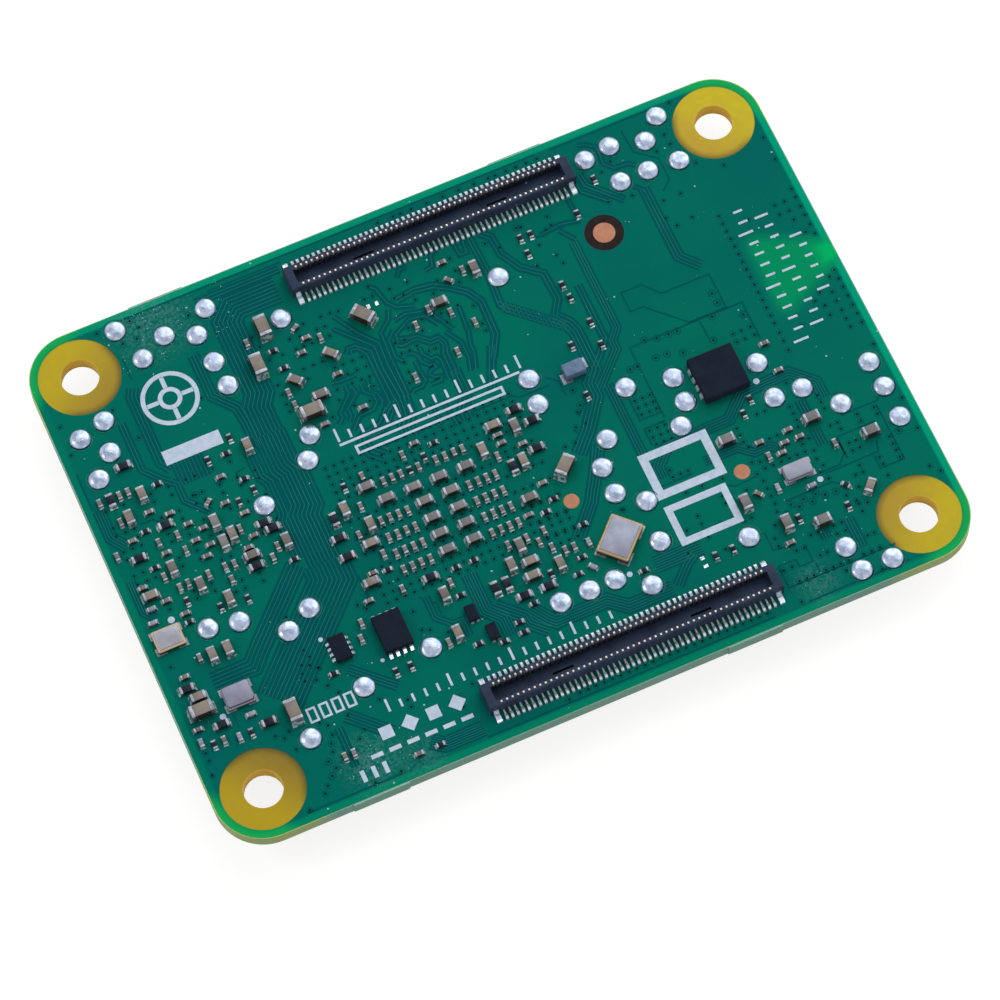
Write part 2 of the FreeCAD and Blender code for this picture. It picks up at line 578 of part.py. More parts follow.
def make_chip_parts():
    """Every capacitor, resistor and small inductor on the connector face."""
    grid = [(x, CAPACITOR_ROW_Y) for x in CAPACITOR_ROW_XS]
    grid += [(x, y) for x in CAPACITOR_FIELD_XS for y in CAPACITOR_FIELD_YS]
    stamp_chips("capacitors_small", "capacitor_end_caps", SMALL_CAPACITOR,
                lay_out(SMALL_CAPACITORS_ACROSS, SMALL_CAPACITORS_UPRIGHT + grid,
                        SMALL_CAPACITORS_TURNED, lean=True))
    stamp_chips("inductors_small", "resistor_end_caps", SMALL_CAPACITOR,
                lay_out(SMALL_INDUCTORS_ACROSS, SMALL_INDUCTORS_UPRIGHT, SMALL_INDUCTORS_TURNED,
                        lean=True))
    stamp_chips("resistors_small", "resistor_end_caps", SMALL_RESISTOR,
                lay_out(SMALL_RESISTORS_ACROSS, SMALL_RESISTORS_UPRIGHT, SMALL_RESISTORS_TURNED,
                        lean=True))
    stamp_chips("capacitors_medium", "capacitor_end_caps", MEDIUM_CAPACITOR,
                lay_out(MEDIUM_CAPACITORS_ACROSS, MEDIUM_CAPACITORS_UPRIGHT,
                        MEDIUM_CAPACITORS_TURNED))
    stamp_chips("capacitors_grey", "capacitor_end_caps", MEDIUM_CAPACITOR,
                lay_out(GREY_CAPACITORS_ACROSS, GREY_CAPACITORS_UPRIGHT))
    stamp_chips("capacitors_grey", "capacitor_end_caps", THICK_CAPACITOR,
                lay_out(THICK_CAPACITORS_ACROSS, THICK_CAPACITORS_UPRIGHT))
    stamp_chips("capacitors_large", "capacitor_end_caps", LARGE_CAPACITOR,
                lay_out(LARGE_CAPACITORS_ACROSS, LARGE_CAPACITORS_UPRIGHT, LARGE_CAPACITORS_TURNED))
    stamp_chips("resistors_medium", "resistor_end_caps", MEDIUM_RESISTOR,
                lay_out(MEDIUM_RESISTORS_ACROSS, MEDIUM_RESISTORS_UPRIGHT))
    pad = block(bare_pad_length, small_chip_width, mask_thickness, small_chip_length / 2)
    for x, y, angle in BARE_PAD_PAIRS:
        for shape in pair(pad):
            add("chip_solder", seat(shape, x - lean_x, y - lean_y, angle))


def side_lead(body_half, lead):
    """A lead that lies under a package's edge and turns up against its side, towards +X."""
    outline = [(body_half - lead_inset, 0.0), (body_half + lead.reach, 0.0),
               (body_half + lead.reach * 0.35, lead.rise), (body_half, lead.rise),
               (body_half, package_standoff), (body_half - lead_inset, package_standoff)]
    return profile_along_y(outline, lead.width)


def make_leaded(body_node, lead_node, place, size, lead, count, angle=0.0):
    """A moulded package whose leads stand in a row along each of its two ends in X."""
    length, width, height = size
    body = block(length, width, height - package_standoff, z=package_standoff, corner=package_corner)
    body = soften_top(body, package_chamfer)
    add(body_node, seat(body, place[0], place[1], angle))
    for index in range(count):
        moved = side_lead(length / 2, lead)
        moved.translate(FreeCAD.Vector(0, (index - (count - 1) / 2) * lead.pitch, 0))
        for shape in pair(moved):
            add(lead_node, seat(shape, place[0], place[1], angle))


def make_leaded_chips():
    """The moulded chips on the connector face."""
    make_leaded("power_switch_body", "power_switch_pads", power_switch_place,
                (power_switch_size, power_switch_size, power_switch_height), POWER_SWITCH_LEAD, 4)
    make_leaded("flash_chip_body", "flash_chip_leads", flash_place,
                (flash_length, flash_width, flash_height), FLASH_LEAD, 4, 90.0)
    make_leaded("level_shifter_body", "level_shifter_leads", shifter_place,
                (shifter_width, shifter_length, shifter_height), SHIFTER_LEAD, 4)
    for place in transistor_places:
        make_leaded("transistor_bodies", "transistor_leads", place,
                    (transistor_length, transistor_width, transistor_height), TRANSISTOR_LEAD, 2, 90.0)


def make_timing_part(name, place, size, lid_margin, lid_thickness, lid_corner, angle=0.0):
    """A crystal: a base on four corner pads, with a metal lid on top of it."""
    length, width, height = size
    base = block(length, width, height - package_standoff, z=package_standoff, corner=0.12)
    base = soften_top(base, 0.05)
    lid = block(length - 2 * lid_margin, width - 2 * lid_margin, lid_thickness, z=height,
                corner=lid_corner)
    lid = soften_top(lid, 0.04)
    add(name + "_base", seat(base, place[0], place[1], angle))
    add(name + "_lid", seat(lid, place[0], place[1], angle))
    pad_length = length * timing_pad_share
    pad_width = width * timing_pad_share
    for sx in (-1, 1):
        for sy in (-1, 1):
            pad = block(pad_length, pad_width, package_standoff,
                        sx * (length / 2 + timing_pad_reach - pad_length / 2),
                        sy * (width / 2 + timing_pad_reach * 0.7 - pad_width / 2))
            add("part_solder_pads", seat(pad, place[0], place[1], angle))


def make_timing_parts():
    """Three crystals, one oscillator and the ferrite."""
    make_timing_part("crystal_a", crystal_a_place, (crystal_a_length, crystal_a_width, crystal_a_height),
                     seam_lid_margin, seam_lid_thickness, 0.10)
    make_timing_part("crystal_b", crystal_b_place, (crystal_b_length, crystal_b_width, crystal_b_height),
                     can_lid_margin, can_lid_thickness, 0.20)
    make_timing_part("crystal_c", crystal_c_place, (crystal_c_length, crystal_c_width, crystal_c_height),
                     seam_lid_margin, seam_lid_thickness, 0.10, crystal_c_angle)
    make_timing_part("oscillator", oscillator_place,
                     (oscillator_length, oscillator_width, oscillator_height),
                     can_lid_margin / 2, can_lid_thickness, 0.20)

    body = block(ferrite_length, ferrite_width, ferrite_height - package_standoff,
                 z=package_standoff, corner=0.08)
    body = soften_top(body, 0.04)
    add("ferrite_body", seat(body, *ferrite_place))
    for side in (-1, 1):
        pad = block(ferrite_pad_length, ferrite_width * 0.8, package_standoff,
                    side * (ferrite_length / 2 + ferrite_pad_reach - ferrite_pad_length / 2),
                    side * ferrite_width * 0.3)
        add("part_solder_pads", seat(pad, *ferrite_place))


def silk_bar(length, width, x, y, angle=0.0):
    """A plain bar of white print."""
    add("silkscreen_marks", seat(block(length, width, silk_thickness), x, y, angle))


def silk_dot(x, y, radius):
    """A round dot of white print."""
    add("silkscreen_marks", seat(disc(radius, silk_thickness), x, y))


def silk_frame(length, width, line, x, y):
    """A rectangle drawn as a line."""
    outer = block(length, width, silk_thickness)
    inner = block(length - 2 * line, width - 2 * line, silk_thickness * 3, z=-silk_thickness)
    add("silkscreen_marks", seat(outer.cut(inner), x, y))


def silk_ring(radius, line, x, y):
    """A circle drawn as a line."""
    hole = disc(radius - line, silk_thickness * 3, z=-silk_thickness)
    add("silkscreen_marks", seat(disc(radius, silk_thickness).cut(hole), x, y))


def silk_scale(x, y, count, tick, along_x):
    """A plain measuring scale: every fifth tick is longer."""
    for index in range(count):
        height = tick if index % 5 == 0 else tick * scale_short_share
        if along_x:
            silk_bar(scale_line, height, x + index * scale_pitch, y + height / 2)
        else:
            silk_bar(height, scale_line, x - height / 2, y + index * scale_pitch)


def make_silkscreen():
    """Pin-one dots, a target, scales, empty frames and plain bars of white print."""
    for place in SILK_DOTS:
        silk_dot(*place)
    target_x, target_y = target_place
    for radius in (target_radius, target_inner_radius):
        silk_ring(radius, target_line, target_x, target_y)
    for angle in (0.0, 90.0, 180.0, 270.0):
        spoke = FreeCAD.Rotation(UP, angle).multVec(FreeCAD.Vector(target_spoke_radius, 0, 0))
        silk_bar(target_spoke_length, target_line, target_x + spoke.x, target_y + spoke.y, angle)
    for place in SILK_SCALES:
        silk_scale(*place)
    for place in SILK_FRAMES:
        silk_frame(*place)
    for place in SILK_BARS:
        silk_bar(*place)


def ball_field(name, place, length, width, height=ball_standoff):
    """Solder joints in a square grid under a package on the hidden face."""
    joint = disc(ball_diameter / 2, height)
    columns = int((length - 2 * ball_field_margin) / ball_pitch) + 1
    rows = int((width - 2 * ball_field_margin) / ball_pitch) + 1
    for column in range(columns):
        for row in range(rows):
            x = place[0] + (column - (columns - 1) / 2) * ball_pitch
            y = place[1] + (row - (rows - 1) / 2) * ball_pitch
            add(name, seat(joint, x, y, back=True))


def make_ball_package(name, place, length, width, height):
    """A moulded package on a grid of solder joints, on the hidden face."""
    body = block(length, width, height - ball_standoff, z=ball_standoff, corner=0.15)
    body = soften_top(body, 0.06)
    add(name + "_package", seat(body, place[0], place[1], back=True))
    ball_field("package_solder", place, length, width)


def make_processor():
    """The processor: a substrate with its chip, under a folded heat spreader."""
    x, y = processor_place
    substrate = block(processor_size, processor_size, processor_substrate, z=processor_standoff,
                      corner=0.3)
    add("processor_substrate", seat(substrate, x, y, back=True))
    top_z = processor_standoff + processor_substrate
    spreader_size = processor_size - 2 * spreader_margin
    spreader_height = processor_height - top_z
    cap = block(spreader_size, spreader_size, spreader_height, z=top_z, corner=0.8)
    cap = soften_top(cap, 0.15)
    hollow = block(spreader_size - 2 * spreader_lip_width, spreader_size - 2 * spreader_lip_width,
                   spreader_height - spreader_top, z=top_z, corner=0.5)
    add("processor_heat_spreader", seat(cap.cut(hollow), x, y, back=True))
    die = block(processor_die_length, processor_die_width, spreader_height - spreader_top, z=top_z)
    add("processor_die", seat(die, x, y, back=True))
    ball_field("processor_solder", processor_place, processor_size, processor_size, processor_standoff)


def make_shield():
    """The wireless section: a chip inside a thin folded can."""
    x, y = shield_place
    can = block(shield_size, shield_size, shield_height, corner=0.5)
    can = soften_top(can, 0.12)
    room = block(shield_size - 2 * shield_wall, shield_size - 2 * shield_wall,
                 shield_height - shield_wall, corner=0.3)
    add("wireless_shield_can", seat(can.cut(room), x, y, back=True))
    chip = block(wireless_chip_size, wireless_chip_size, wireless_chip_height, corner=0.2)
    add("wireless_chip", seat(chip, x, y, back=True))


def make_flat_chip(name, place, size, height, pads_per_side):
    """A moulded flat package with solder pads along its four sides, on the hidden face."""
    body = block(size, size, height - package_standoff, z=package_standoff, corner=0.1)
    body = soften_top(body, 0.05)
    add(name + "_body", seat(body, place[0], place[1], back=True))
    pad = side_lead(size / 2, FLAT_CHIP_PAD)
    pitch = (size - 1.2) / (pads_per_side - 1)
    for quarter in range(4):
        for index in range(pads_per_side):
            moved = pad.copy()
            moved.translate(FreeCAD.Vector(0, (index - (pads_per_side - 1) / 2) * pitch, 0))
            add("flat_chip_pads", seat(moved, place[0], place[1], 90.0 * quarter, True))


def make_coax():
    """The antenna socket: a base with a ring round a centre pin, on the hidden face."""
    x, y = coax_place
    base = block(coax_base_size, coax_base_size, coax_base_height, corner=0.15)
    bore = disc(coax_pin_diameter / 2 + 0.15, 1.0, z=-0.2)
    add("antenna_socket_base", seat(base.cut(bore), x, y, back=True))
    ring = disc(coax_ring_diameter / 2, coax_height - coax_base_height, z=coax_base_height)
    bore = disc(coax_ring_diameter / 2 - coax_ring_wall, coax_height, z=0.2)
    add("antenna_socket_ring", seat(ring.cut(bore), x, y, back=True))
    add("antenna_socket_pin", seat(disc(coax_pin_diameter / 2, coax_pin_height), x, y, back=True))


def make_hidden_face():
    """Everything on the face that carries the processor."""
    make_processor()
    make_ball_package("memory", memory_place, memory_length, memory_width, memory_height)
    make_ball_package("io_controller", controller_place, controller_size, controller_size,
                      controller_height)
    make_ball_package("storage", storage_place, storage_length, storage_width, storage_height)
    make_shield()
    make_flat_chip("power_manager", power_manager_place, power_manager_size, power_manager_height, 12)
    make_flat_chip("network_chip", network_chip_place, network_chip_size, network_chip_height, 10)
    make_coax()
    coil = block(inductor_size, inductor_size, inductor_height, corner=0.25)
    coil = soften_top(coil, 0.12)
    for x in inductor_xs:
        add("power_inductors", seat(coil, x, inductor_y, back=True))
    add("status_led", seat(block(led_length, led_width, led_height, corner=0.08), *led_place, back=True))
    stamp_chips("capacitors_medium", "capacitor_end_caps", MEDIUM_CAPACITOR,
                lay_out(HIDDEN_MEDIUM_ACROSS, HIDDEN_MEDIUM_UPRIGHT), back=True)
    stamp_chips("capacitors_large", "capacitor_end_caps", LARGE_CAPACITOR,
                lay_out((), HIDDEN_LARGE_UPRIGHT), back=True)
    stamp_chips("capacitors_small", "capacitor_end_caps", SMALL_CAPACITOR,
                lay_out((), HIDDEN_SMALL_UPRIGHT), back=True)
    stamp_chips("resistors_small", "resistor_end_caps", SMALL_RESISTOR,
                lay_out(HIDDEN_RESISTORS_ACROSS, ()), back=True)


make_board()
make_domes()
make_connector("connector_1", connector_y)
make_connector("connector_2", -connector_y)
make_chip_parts()
make_leaded_chips()
make_timing_parts()
make_silkscreen()
make_hidden_face()

os.makedirs("parts", exist_ok=True)
for node_name, solids in nodes.items():
    shape = solids[0] if len(solids) == 1 else Part.makeCompound(solids)
    shape.exportStep(os.path.join("parts", node_name + ".step"))
    print(node_name, len(solids), "solids", round(sum(s.Volume for s in solids), 3), "mm3")
print(len(nodes), "nodes")
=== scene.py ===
"""Looks of a system on module: finishes, copper traces, vias and solder around the fixed solids."""
import logging
import math
import random
from dataclasses import dataclass
from enum import Enum
from typing import Any, Iterable, NamedTuple, Optional, Sequence

import bmesh
import bpy
from mathutils import Matrix, Vector, noise

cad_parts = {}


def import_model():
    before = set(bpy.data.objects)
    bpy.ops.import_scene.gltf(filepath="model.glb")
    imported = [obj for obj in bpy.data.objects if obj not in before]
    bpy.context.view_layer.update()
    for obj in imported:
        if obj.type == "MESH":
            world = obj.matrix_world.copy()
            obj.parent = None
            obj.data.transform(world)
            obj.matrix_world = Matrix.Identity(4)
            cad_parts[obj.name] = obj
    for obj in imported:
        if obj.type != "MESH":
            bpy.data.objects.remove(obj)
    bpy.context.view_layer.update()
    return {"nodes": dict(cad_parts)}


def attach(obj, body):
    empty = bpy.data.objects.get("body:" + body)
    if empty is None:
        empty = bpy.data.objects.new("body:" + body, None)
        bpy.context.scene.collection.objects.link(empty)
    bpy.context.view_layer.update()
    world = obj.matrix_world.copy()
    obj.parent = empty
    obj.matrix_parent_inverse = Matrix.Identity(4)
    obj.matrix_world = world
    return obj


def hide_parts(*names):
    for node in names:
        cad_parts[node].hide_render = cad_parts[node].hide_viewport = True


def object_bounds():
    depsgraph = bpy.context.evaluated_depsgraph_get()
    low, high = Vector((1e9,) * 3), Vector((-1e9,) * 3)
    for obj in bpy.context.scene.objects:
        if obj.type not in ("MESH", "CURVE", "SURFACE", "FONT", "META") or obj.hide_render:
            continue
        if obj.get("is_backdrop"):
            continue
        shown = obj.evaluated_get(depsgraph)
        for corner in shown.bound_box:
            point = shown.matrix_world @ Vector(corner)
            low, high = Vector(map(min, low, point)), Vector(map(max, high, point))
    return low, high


MM = 0.001
BODY = "root"
LOG = logging.getLogger("module")
Colour = tuple[int, int, int]
Point = tuple[float, float]
Path = Sequence[Sequence[float]]
Span = tuple[float, float]
Socket = bpy.types.NodeSocket
Tree = bpy.types.NodeTree
Mesh = bmesh.types.BMesh


@dataclass(frozen=True)
class BoardPlan:
    """The board's main sizes in millimetres, which the finishes line up with."""

    half_length: float = 27.5
    half_width: float = 20.0
    hole_x: float = 24.0
    hole_y: float = 16.5
    hole_radius: float = 1.35
    ring_radius: float = 2.9
    face: float = 3.578
    connector_x: float = 2.5
    connector_y: float = 17.0
    housing_half_width: float = 0.94


@dataclass(frozen=True)
class ZonePlan:
    """Where the board's green changes, in millimetres: a span runs from none of a zone to all of it."""

    edge: Span = (-0.66, -0.42)
    corner_hole: Span = (2.2, 3.4)
    corner_outward: Span = (1.6, 3.6)
    corner_end: Span = (5.4, 3.6)
    window_start: Span = (21.3, 22.6)
    window_middle: float = 4.0
    window_side: Span = (3.9, 2.2)
    window_taper: float = 0.5
    window_taper_from: float = 23.0
    window_bright: Span = (25.2, 27.3)
    window_least: float = 0.6
    window_gain: float = 0.4


BOARD = BoardPlan()
ZONES = ZonePlan()


def linear(colour: Colour) -> tuple[float, ...]:
    """Turn a colour of 0 to 255, as seen on a screen, into Blender's linear values.

    Args:
        colour: red, green and blue, each from 0 to 255.

    Returns:
        Red, green and blue from 0 to 1, and an alpha of 1.
    """
    shares = [channel / 255.0 for channel in colour]
    parts = [share / 12.92 if share <= 0.04045 else ((share + 0.055) / 1.055) ** 2.4 for share in shares]
    return (*parts, 1.0)


class Spot(NamedTuple):
    """A point's Object coordinates in metres, whole and as separate numbers."""

    whole: Socket
    x: Socket
    y: Socket
    z: Socket


class Graph:
    """A node tree with short calls for its nodes and links."""

    def __init__(self, tree: Tree) -> None:
        """Keep the tree that the calls add to."""
        self.tree = tree

    def feed(self, value: Any, socket: Socket) -> None:
        """Link an output socket to an input, or set the input to a plain value.

        Args:
            value: the output socket or the plain value.
            socket: the input.
        """
        if isinstance(value, Socket):
            self.tree.links.new(value, socket)
        else:
            socket.default_value = value

    def add(self, kind: str, inputs: Optional[dict[Any, Any]] = None, **settings: Any) -> bpy.types.Node:
        """Add a node.

        Args:
            kind: the node's type, without the word ShaderNode.
            inputs: a value or an output socket for each input, by its name or number.
            settings: the node's own properties.

        Returns:
            The new node.
        """
        node = self.tree.nodes.new("ShaderNode" + kind)
        for name, value in settings.items():
            setattr(node, name, value)
        for key, value in (inputs or {}).items():
            self.feed(value, node.inputs[key])
        return node

    def group(self, group: Tree, **inputs: Any) -> Any:
        """Place a shared node group.

        Args:
            group: the group.
            inputs: a value or an output socket for each of its inputs.

        Returns:
            The outputs of its node.
        """
        node = self.tree.nodes.new("ShaderNodeGroup")
        node.node_tree = group
        for name, value in inputs.items():
            self.feed(value, node.inputs[name.capitalize()])
        return node.outputs

    def math(self, operation: str, first: Any, second: Any = 0.0, clamp: bool = False) -> Socket:
        """Work out one number from one or two others."""
        return self.add("Math", {0: first, 1: second}, operation=operation, use_clamp=clamp).outputs[0]

    def plus(self, first: Any, second: Any) -> Socket:
        """Add two numbers."""
        return self.math("ADD", first, second)

    def minus(self, first: Any, second: Any) -> Socket:
        """Take the second number from the first."""
        return self.math("SUBTRACT", first, second)

    def times(self, first: Any, *others: Any) -> Socket:
        """Multiply numbers in their order.

        Args:
            first: the first number.
            others: the numbers that it is multiplied by.

        Returns:
            The product.
        """
        for other in others:
            first = self.math("MULTIPLY", first, other)
        return first

    def size(self, value: Any) -> Socket:
        """Give a number without its sign."""
        return self.math("ABSOLUTE", value)

    def length(self, x: Any, y: Any) -> Socket:
        """Give the length of a flat way from its two parts."""
        return self.math("SQRT", self.plus(self.times(x, x), self.times(y, y)))

    def ramp(self, value: Any, low: float, high: float) -> Socket:
        """Turn a value into 0 at low and 1 at high, smoothly and clamped."""
        return self.add("MapRange", {"Value": value, "From Min": low, "From Max": high},
                        interpolation_type="SMOOTHSTEP").outputs[0]

    def over(self, value: Any, span: Span) -> Socket:
        """Ramp a length in metres over a span in millimetres."""
        return self.ramp(value, span[0] * MM, span[1] * MM)

    def mix(self, share: Any, first: Any, second: Any) -> Socket:
        """Mix two colours, each a linear colour or a socket."""
        return self.add("Mix", {0: share, 6: first, 7: second}, data_type="RGBA").outputs[2]

    def coats(self, base: Any, *coats: tuple[Any, Colour]) -> Socket:
        """Lay colours over a base one after another.

        Args:
            base: a linear colour or a socket.
            coats: the share and the colour of each coat.

        Returns:
            The colour that results.
        """
        for share, colour in coats:
            base = self.mix(share, base, linear(colour))
        return base

    def noise(self, vector: Socket, scale: Any, detail: float, roughness: float = 0.5) -> Socket:
        """Give a cloudy share from 0 to 1."""
        return self.add("TexNoise", {"Vector": vector, "Scale": scale, "Detail": detail,
                                     "Roughness": roughness}).outputs["Fac"]

    def place(self) -> Spot:
        """Give the point that is shaded."""
        whole = self.add("TexCoord").outputs["Object"]
        return Spot(whole, *self.add("SeparateXYZ", {0: whole}).outputs)


def past_outline(graph: Graph, spot: Spot, inset: float = 0.0) -> Socket:
    """Measure how far a point lies past the board's outline, or past a line inside it.

    Args:
        graph: the node tree.
        spot: the point.
        inset: how far inside the outline the line runs, in millimetres.

    Returns:
        The distance in metres, below 0 inside the line.
    """
    from_end = graph.minus(graph.size(spot.x), (BOARD.half_length - inset) * MM)
    from_side = graph.minus(graph.size(spot.y), (BOARD.half_width - inset) * MM)
    return graph.math("MAXIMUM", from_end, from_side)


def past_hole(graph: Graph, spot: Spot) -> tuple[Socket, Socket]:
    """Measure from the middle of the nearest screw hole.

    Args:
        graph: the node tree.
        spot: the point.

    Returns:
        The way outwards, its parts along X and Y added, and the distance, in metres.
    """
    past_x = graph.minus(graph.size(spot.x), BOARD.hole_x * MM)
    past_y = graph.minus(graph.size(spot.y), BOARD.hole_y * MM)
    return graph.plus(past_x, past_y), graph.length(past_x, past_y)


class Effects:
    """The shader node groups that several finishes share."""

    def __init__(self) -> None:
        """Build each group once."""
        self.mottle = self._mottle()
        self.grain = self._grain()
        self.specks = self._specks()
        self.brushed = self._brushed()
        self.zones = self._zones()

    @staticmethod
    def _new(name: str, outputs: Sequence[str], **inputs: float) -> tuple[Graph, Any, Any]:
        """Make an empty group of numbers.

        Args:
            name: the group's name.
            outputs: the names of the numbers that it gives.
            inputs: each number that it takes, with its usual value.

        Returns:
            The graph, the numbers taken and the sockets of the numbers given.
        """
        tree = bpy.data.node_groups.new(name, "ShaderNodeTree")
        kind = "NodeSocketFloat"
        for label, value in inputs.items():
            socket = tree.interface.new_socket(name=label.capitalize(), in_out="INPUT", socket_type=kind)
            socket.default_value = value
        for label in outputs:
            tree.interface.new_socket(name=label, in_out="OUTPUT", socket_type=kind)
        given, out = tree.nodes.new("NodeGroupInput"), tree.nodes.new("NodeGroupOutput")
        return Graph(tree), given.outputs, out.inputs

    def _mottle(self) -> Tree:
        """Make soft blotches.

        Returns:
            A group that gives a share from 0 to 1, which wanders over the surface.
        """
        graph, given, out = self._new("mottle", ["Share"], scale=900.0, contrast=1.0)
        centred = graph.minus(graph.noise(graph.place().whole, given["Scale"], 3.0), 0.5)
        scaled = graph.times(centred, graph.times(given["Contrast"], 3.0))
        graph.feed(graph.math("ADD", scaled, 0.5, clamp=True), out["Share"])
        return graph.tree

    def _grain(self) -> Tree:
        """Make the fine grain of a moulded or sintered surface.

        Returns:
            A group that gives a height.
        """
        graph, given, out = self._new("grain", ["Height"], scale=12000.0)
        graph.feed(graph.noise(graph.place().whole, given["Scale"], 2.0, 0.6), out["Height"])
        return graph.tree

    def _specks(self) -> Tree:
        """Make sparse specks of dust.

        Returns:
            A group that gives 1 on a speck and 0 elsewhere.
        """
        graph, given, out = self._new("specks", ["Mask"], scale=900.0, density=0.5, size=0.06)
        cells = graph.add("TexVoronoi", {"Vector": graph.place().whole, "Scale": given["Scale"],
                                         "Randomness": 1.0}).outputs
        inside = graph.math("LESS_THAN", cells["Distance"], given["Size"])
        picked = graph.add("SeparateColor", {0: cells["Color"]}).outputs[0]
        graph.feed(graph.times(inside, graph.math("LESS_THAN", picked, given["Density"])), out["Mask"])
        return graph.tree

    def _brushed(self) -> Tree:
        """Make fine scratches along X.

        Returns:
            A group that gives a height.
        """
        graph, given, out = self._new("brushed", ["Height"], scale=400.0, stretch=30.0)
        spot = graph.place()
        along = graph.math("DIVIDE", spot.x, given["Stretch"])
        drawn = graph.add("CombineXYZ", {"X": along, "Y": spot.y, "Z": spot.z}).outputs[0]
        graph.feed(graph.noise(drawn, given["Scale"], 5.0, 0.7), out["Height"])
        return graph.tree

    def _zones(self) -> Tree:
        """Find the board's copper-free edge, its corners and the antenna's window.

        Returns:
            A group that gives how far a point lies in each of them, from 0 to 1.
        """
        graph, _, out = self._new("zones", ["Edge", "Corner", "Window"])
        spot = graph.place()
        graph.feed(graph.over(past_outline(graph, spot), ZONES.edge), out["Edge"])
        outward, from_hole = past_hole(graph, spot)
        corner = graph.times(graph.over(from_hole, ZONES.corner_hole),
                             graph.over(outward, ZONES.corner_outward),
                             graph.over(from_hole, ZONES.corner_end))
        graph.feed(corner, out["Corner"])
        past = graph.math("MAXIMUM", graph.minus(spot.x, ZONES.window_taper_from * MM), 0.0)
        off = graph.plus(graph.size(graph.minus(spot.y, ZONES.window_middle * MM)),
                         graph.times(past, ZONES.window_taper))
        bright = graph.times(graph.over(spot.x, ZONES.window_bright), ZONES.window_gain)
        window = graph.times(graph.over(spot.x, ZONES.window_start), graph.over(off, ZONES.window_side),
                             graph.plus(bright, ZONES.window_least))
        graph.feed(window, out["Window"])
        return graph.tree


DUST_COLOUR: Colour = (178, 208, 206)
DUST_SCALE, DUST_SIZE = 1500.0, 0.10
# Painted shade: faces whose normal's upward part lies below this span take a finish's darker side colour
PAINTED_SIDE_SHADE_FACING = (0.35, 0.92)
WEAR_SCALE, WEAR_CONTRAST, WEAR_SHARES = 2.3, 0.8, (0.82, 1.18)
BUMP_STRENGTH = 0.6


@dataclass(frozen=True)
class Finish:
    """A finish whose colour wanders between two near tones, over a fine grain."""

    name: str
    colour: Colour
    second: Colour
    roughness: float = 0.5
    metallic: float = 0.0
    specular: float = 0.3
    mottle: float = 500.0
    contrast: float = 1.0
    grain: float = 12000.0
    depth: float = 0.004
    dust: float = 0.0
    # Painted shade: the darker colour that upright sides take, if any
    painted_side_shade: Optional[Colour] = None

    def tone(self, graph: Graph, effects: Effects) -> Socket:
        """Give the finish's colour."""
        blotch = graph.group(effects.mottle, scale=self.mottle, contrast=self.contrast)["Share"]
        return graph.coats(linear(self.colour), (blotch, self.second))

    def height(self, graph: Graph, effects: Effects) -> Socket:
        """Give the fine relief."""
        return graph.group(effects.grain, scale=self.grain)["Height"]

    def make(self, effects: Effects) -> bpy.types.Material:
        """Build the material.

        Args:
            effects: the shared node groups.

        Returns:
            The finished material.
        """
        material = bpy.data.materials.new(self.name)
        material.use_nodes = True
        graph = Graph(material.node_tree)
        tone = self.tone(graph, effects)
        if self.dust > 0.0:
            dust = graph.group(effects.specks, scale=DUST_SCALE, density=self.dust, size=DUST_SIZE)["Mask"]
            tone = graph.coats(tone, (dust, DUST_COLOUR))
        # Painted shade: upright sides take the darker side colour
        if self.painted_side_shade is not None:
            facing = graph.add("SeparateXYZ", {0: graph.add("NewGeometry").outputs["Normal"]}).outputs["Z"]
            tone = graph.mix(graph.ramp(graph.size(facing), *PAINTED_SIDE_SHADE_FACING), linear(self.painted_side_shade), tone)
        uneven = graph.group(effects.mottle, scale=self.mottle * WEAR_SCALE, contrast=WEAR_CONTRAST)["Share"]
        smooth, rough = (min(1.0, self.roughness * share) for share in WEAR_SHARES)
        wear = graph.add("MapRange", {"Value": uneven, "To Min": smooth, "To Max": rough})
        bump = graph.add("Bump", {"Strength": BUMP_STRENGTH, "Distance": self.depth * MM,
                                  "Height": self.height(graph, effects)})
        inputs = material.node_tree.nodes["Principled BSDF"].inputs
        for name, value in (("Base Color", tone), ("Roughness", wear.outputs[0]), ("Normal", bump.outputs[0]),
                            ("Metallic", self.metallic), ("Specular IOR Level", self.specular)):
            graph.feed(value, inputs[name])
        return material


@dataclass(frozen=True)
class BrushedFinish(Finish):
    """Plated metal with fine scratches along X."""

    metallic: float = 1.0
    brush: float = 900.0
    streaks: Span = (0.35, 0.65)

    def height(self, graph: Graph, effects: Effects) -> Socket:
        """Give the scratches as the relief."""
        return graph.group(effects.brushed, scale=self.brush, stretch=30.0)["Height"]

    def tone(self, graph: Graph, effects: Effects) -> Socket:
        """Give a tone that is streaked as the scratches are."""
        lines = graph.group(effects.brushed, scale=self.brush * 0.5, stretch=20.0)["Height"]
        return graph.coats(linear(self.colour), (graph.ramp(lines, *self.streaks), self.second))


@dataclass(frozen=True)
class LidFinish(Finish):
    """Dull nickel of the timing parts' lids."""

    roughness: float = 0.45
    metallic: float = 0.45
    specular: float = 0.1
    mottle: float = 1300.0
    grain: float = 9000.0
    depth: float = 0.006


@dataclass(frozen=True)
class CapacitorFinish(Finish):
    """Blotched ceramic whose upright sides are painted darker than its top, as painted shade."""

    specular: float = 0.1
    mottle: float = 330.0
    contrast: float = 2.4


# Dried flux on the mask: x, y and reach in millimetres, and strength
FLUX_HAZE = [(-18.0, 18.3, 4.2, 0.55), (-16.8, -17.6, 3.0, 0.55), (15.6, -18.2, 2.2, 0.45),
             (-13.5, -18.8, 2.4, 0.35)]


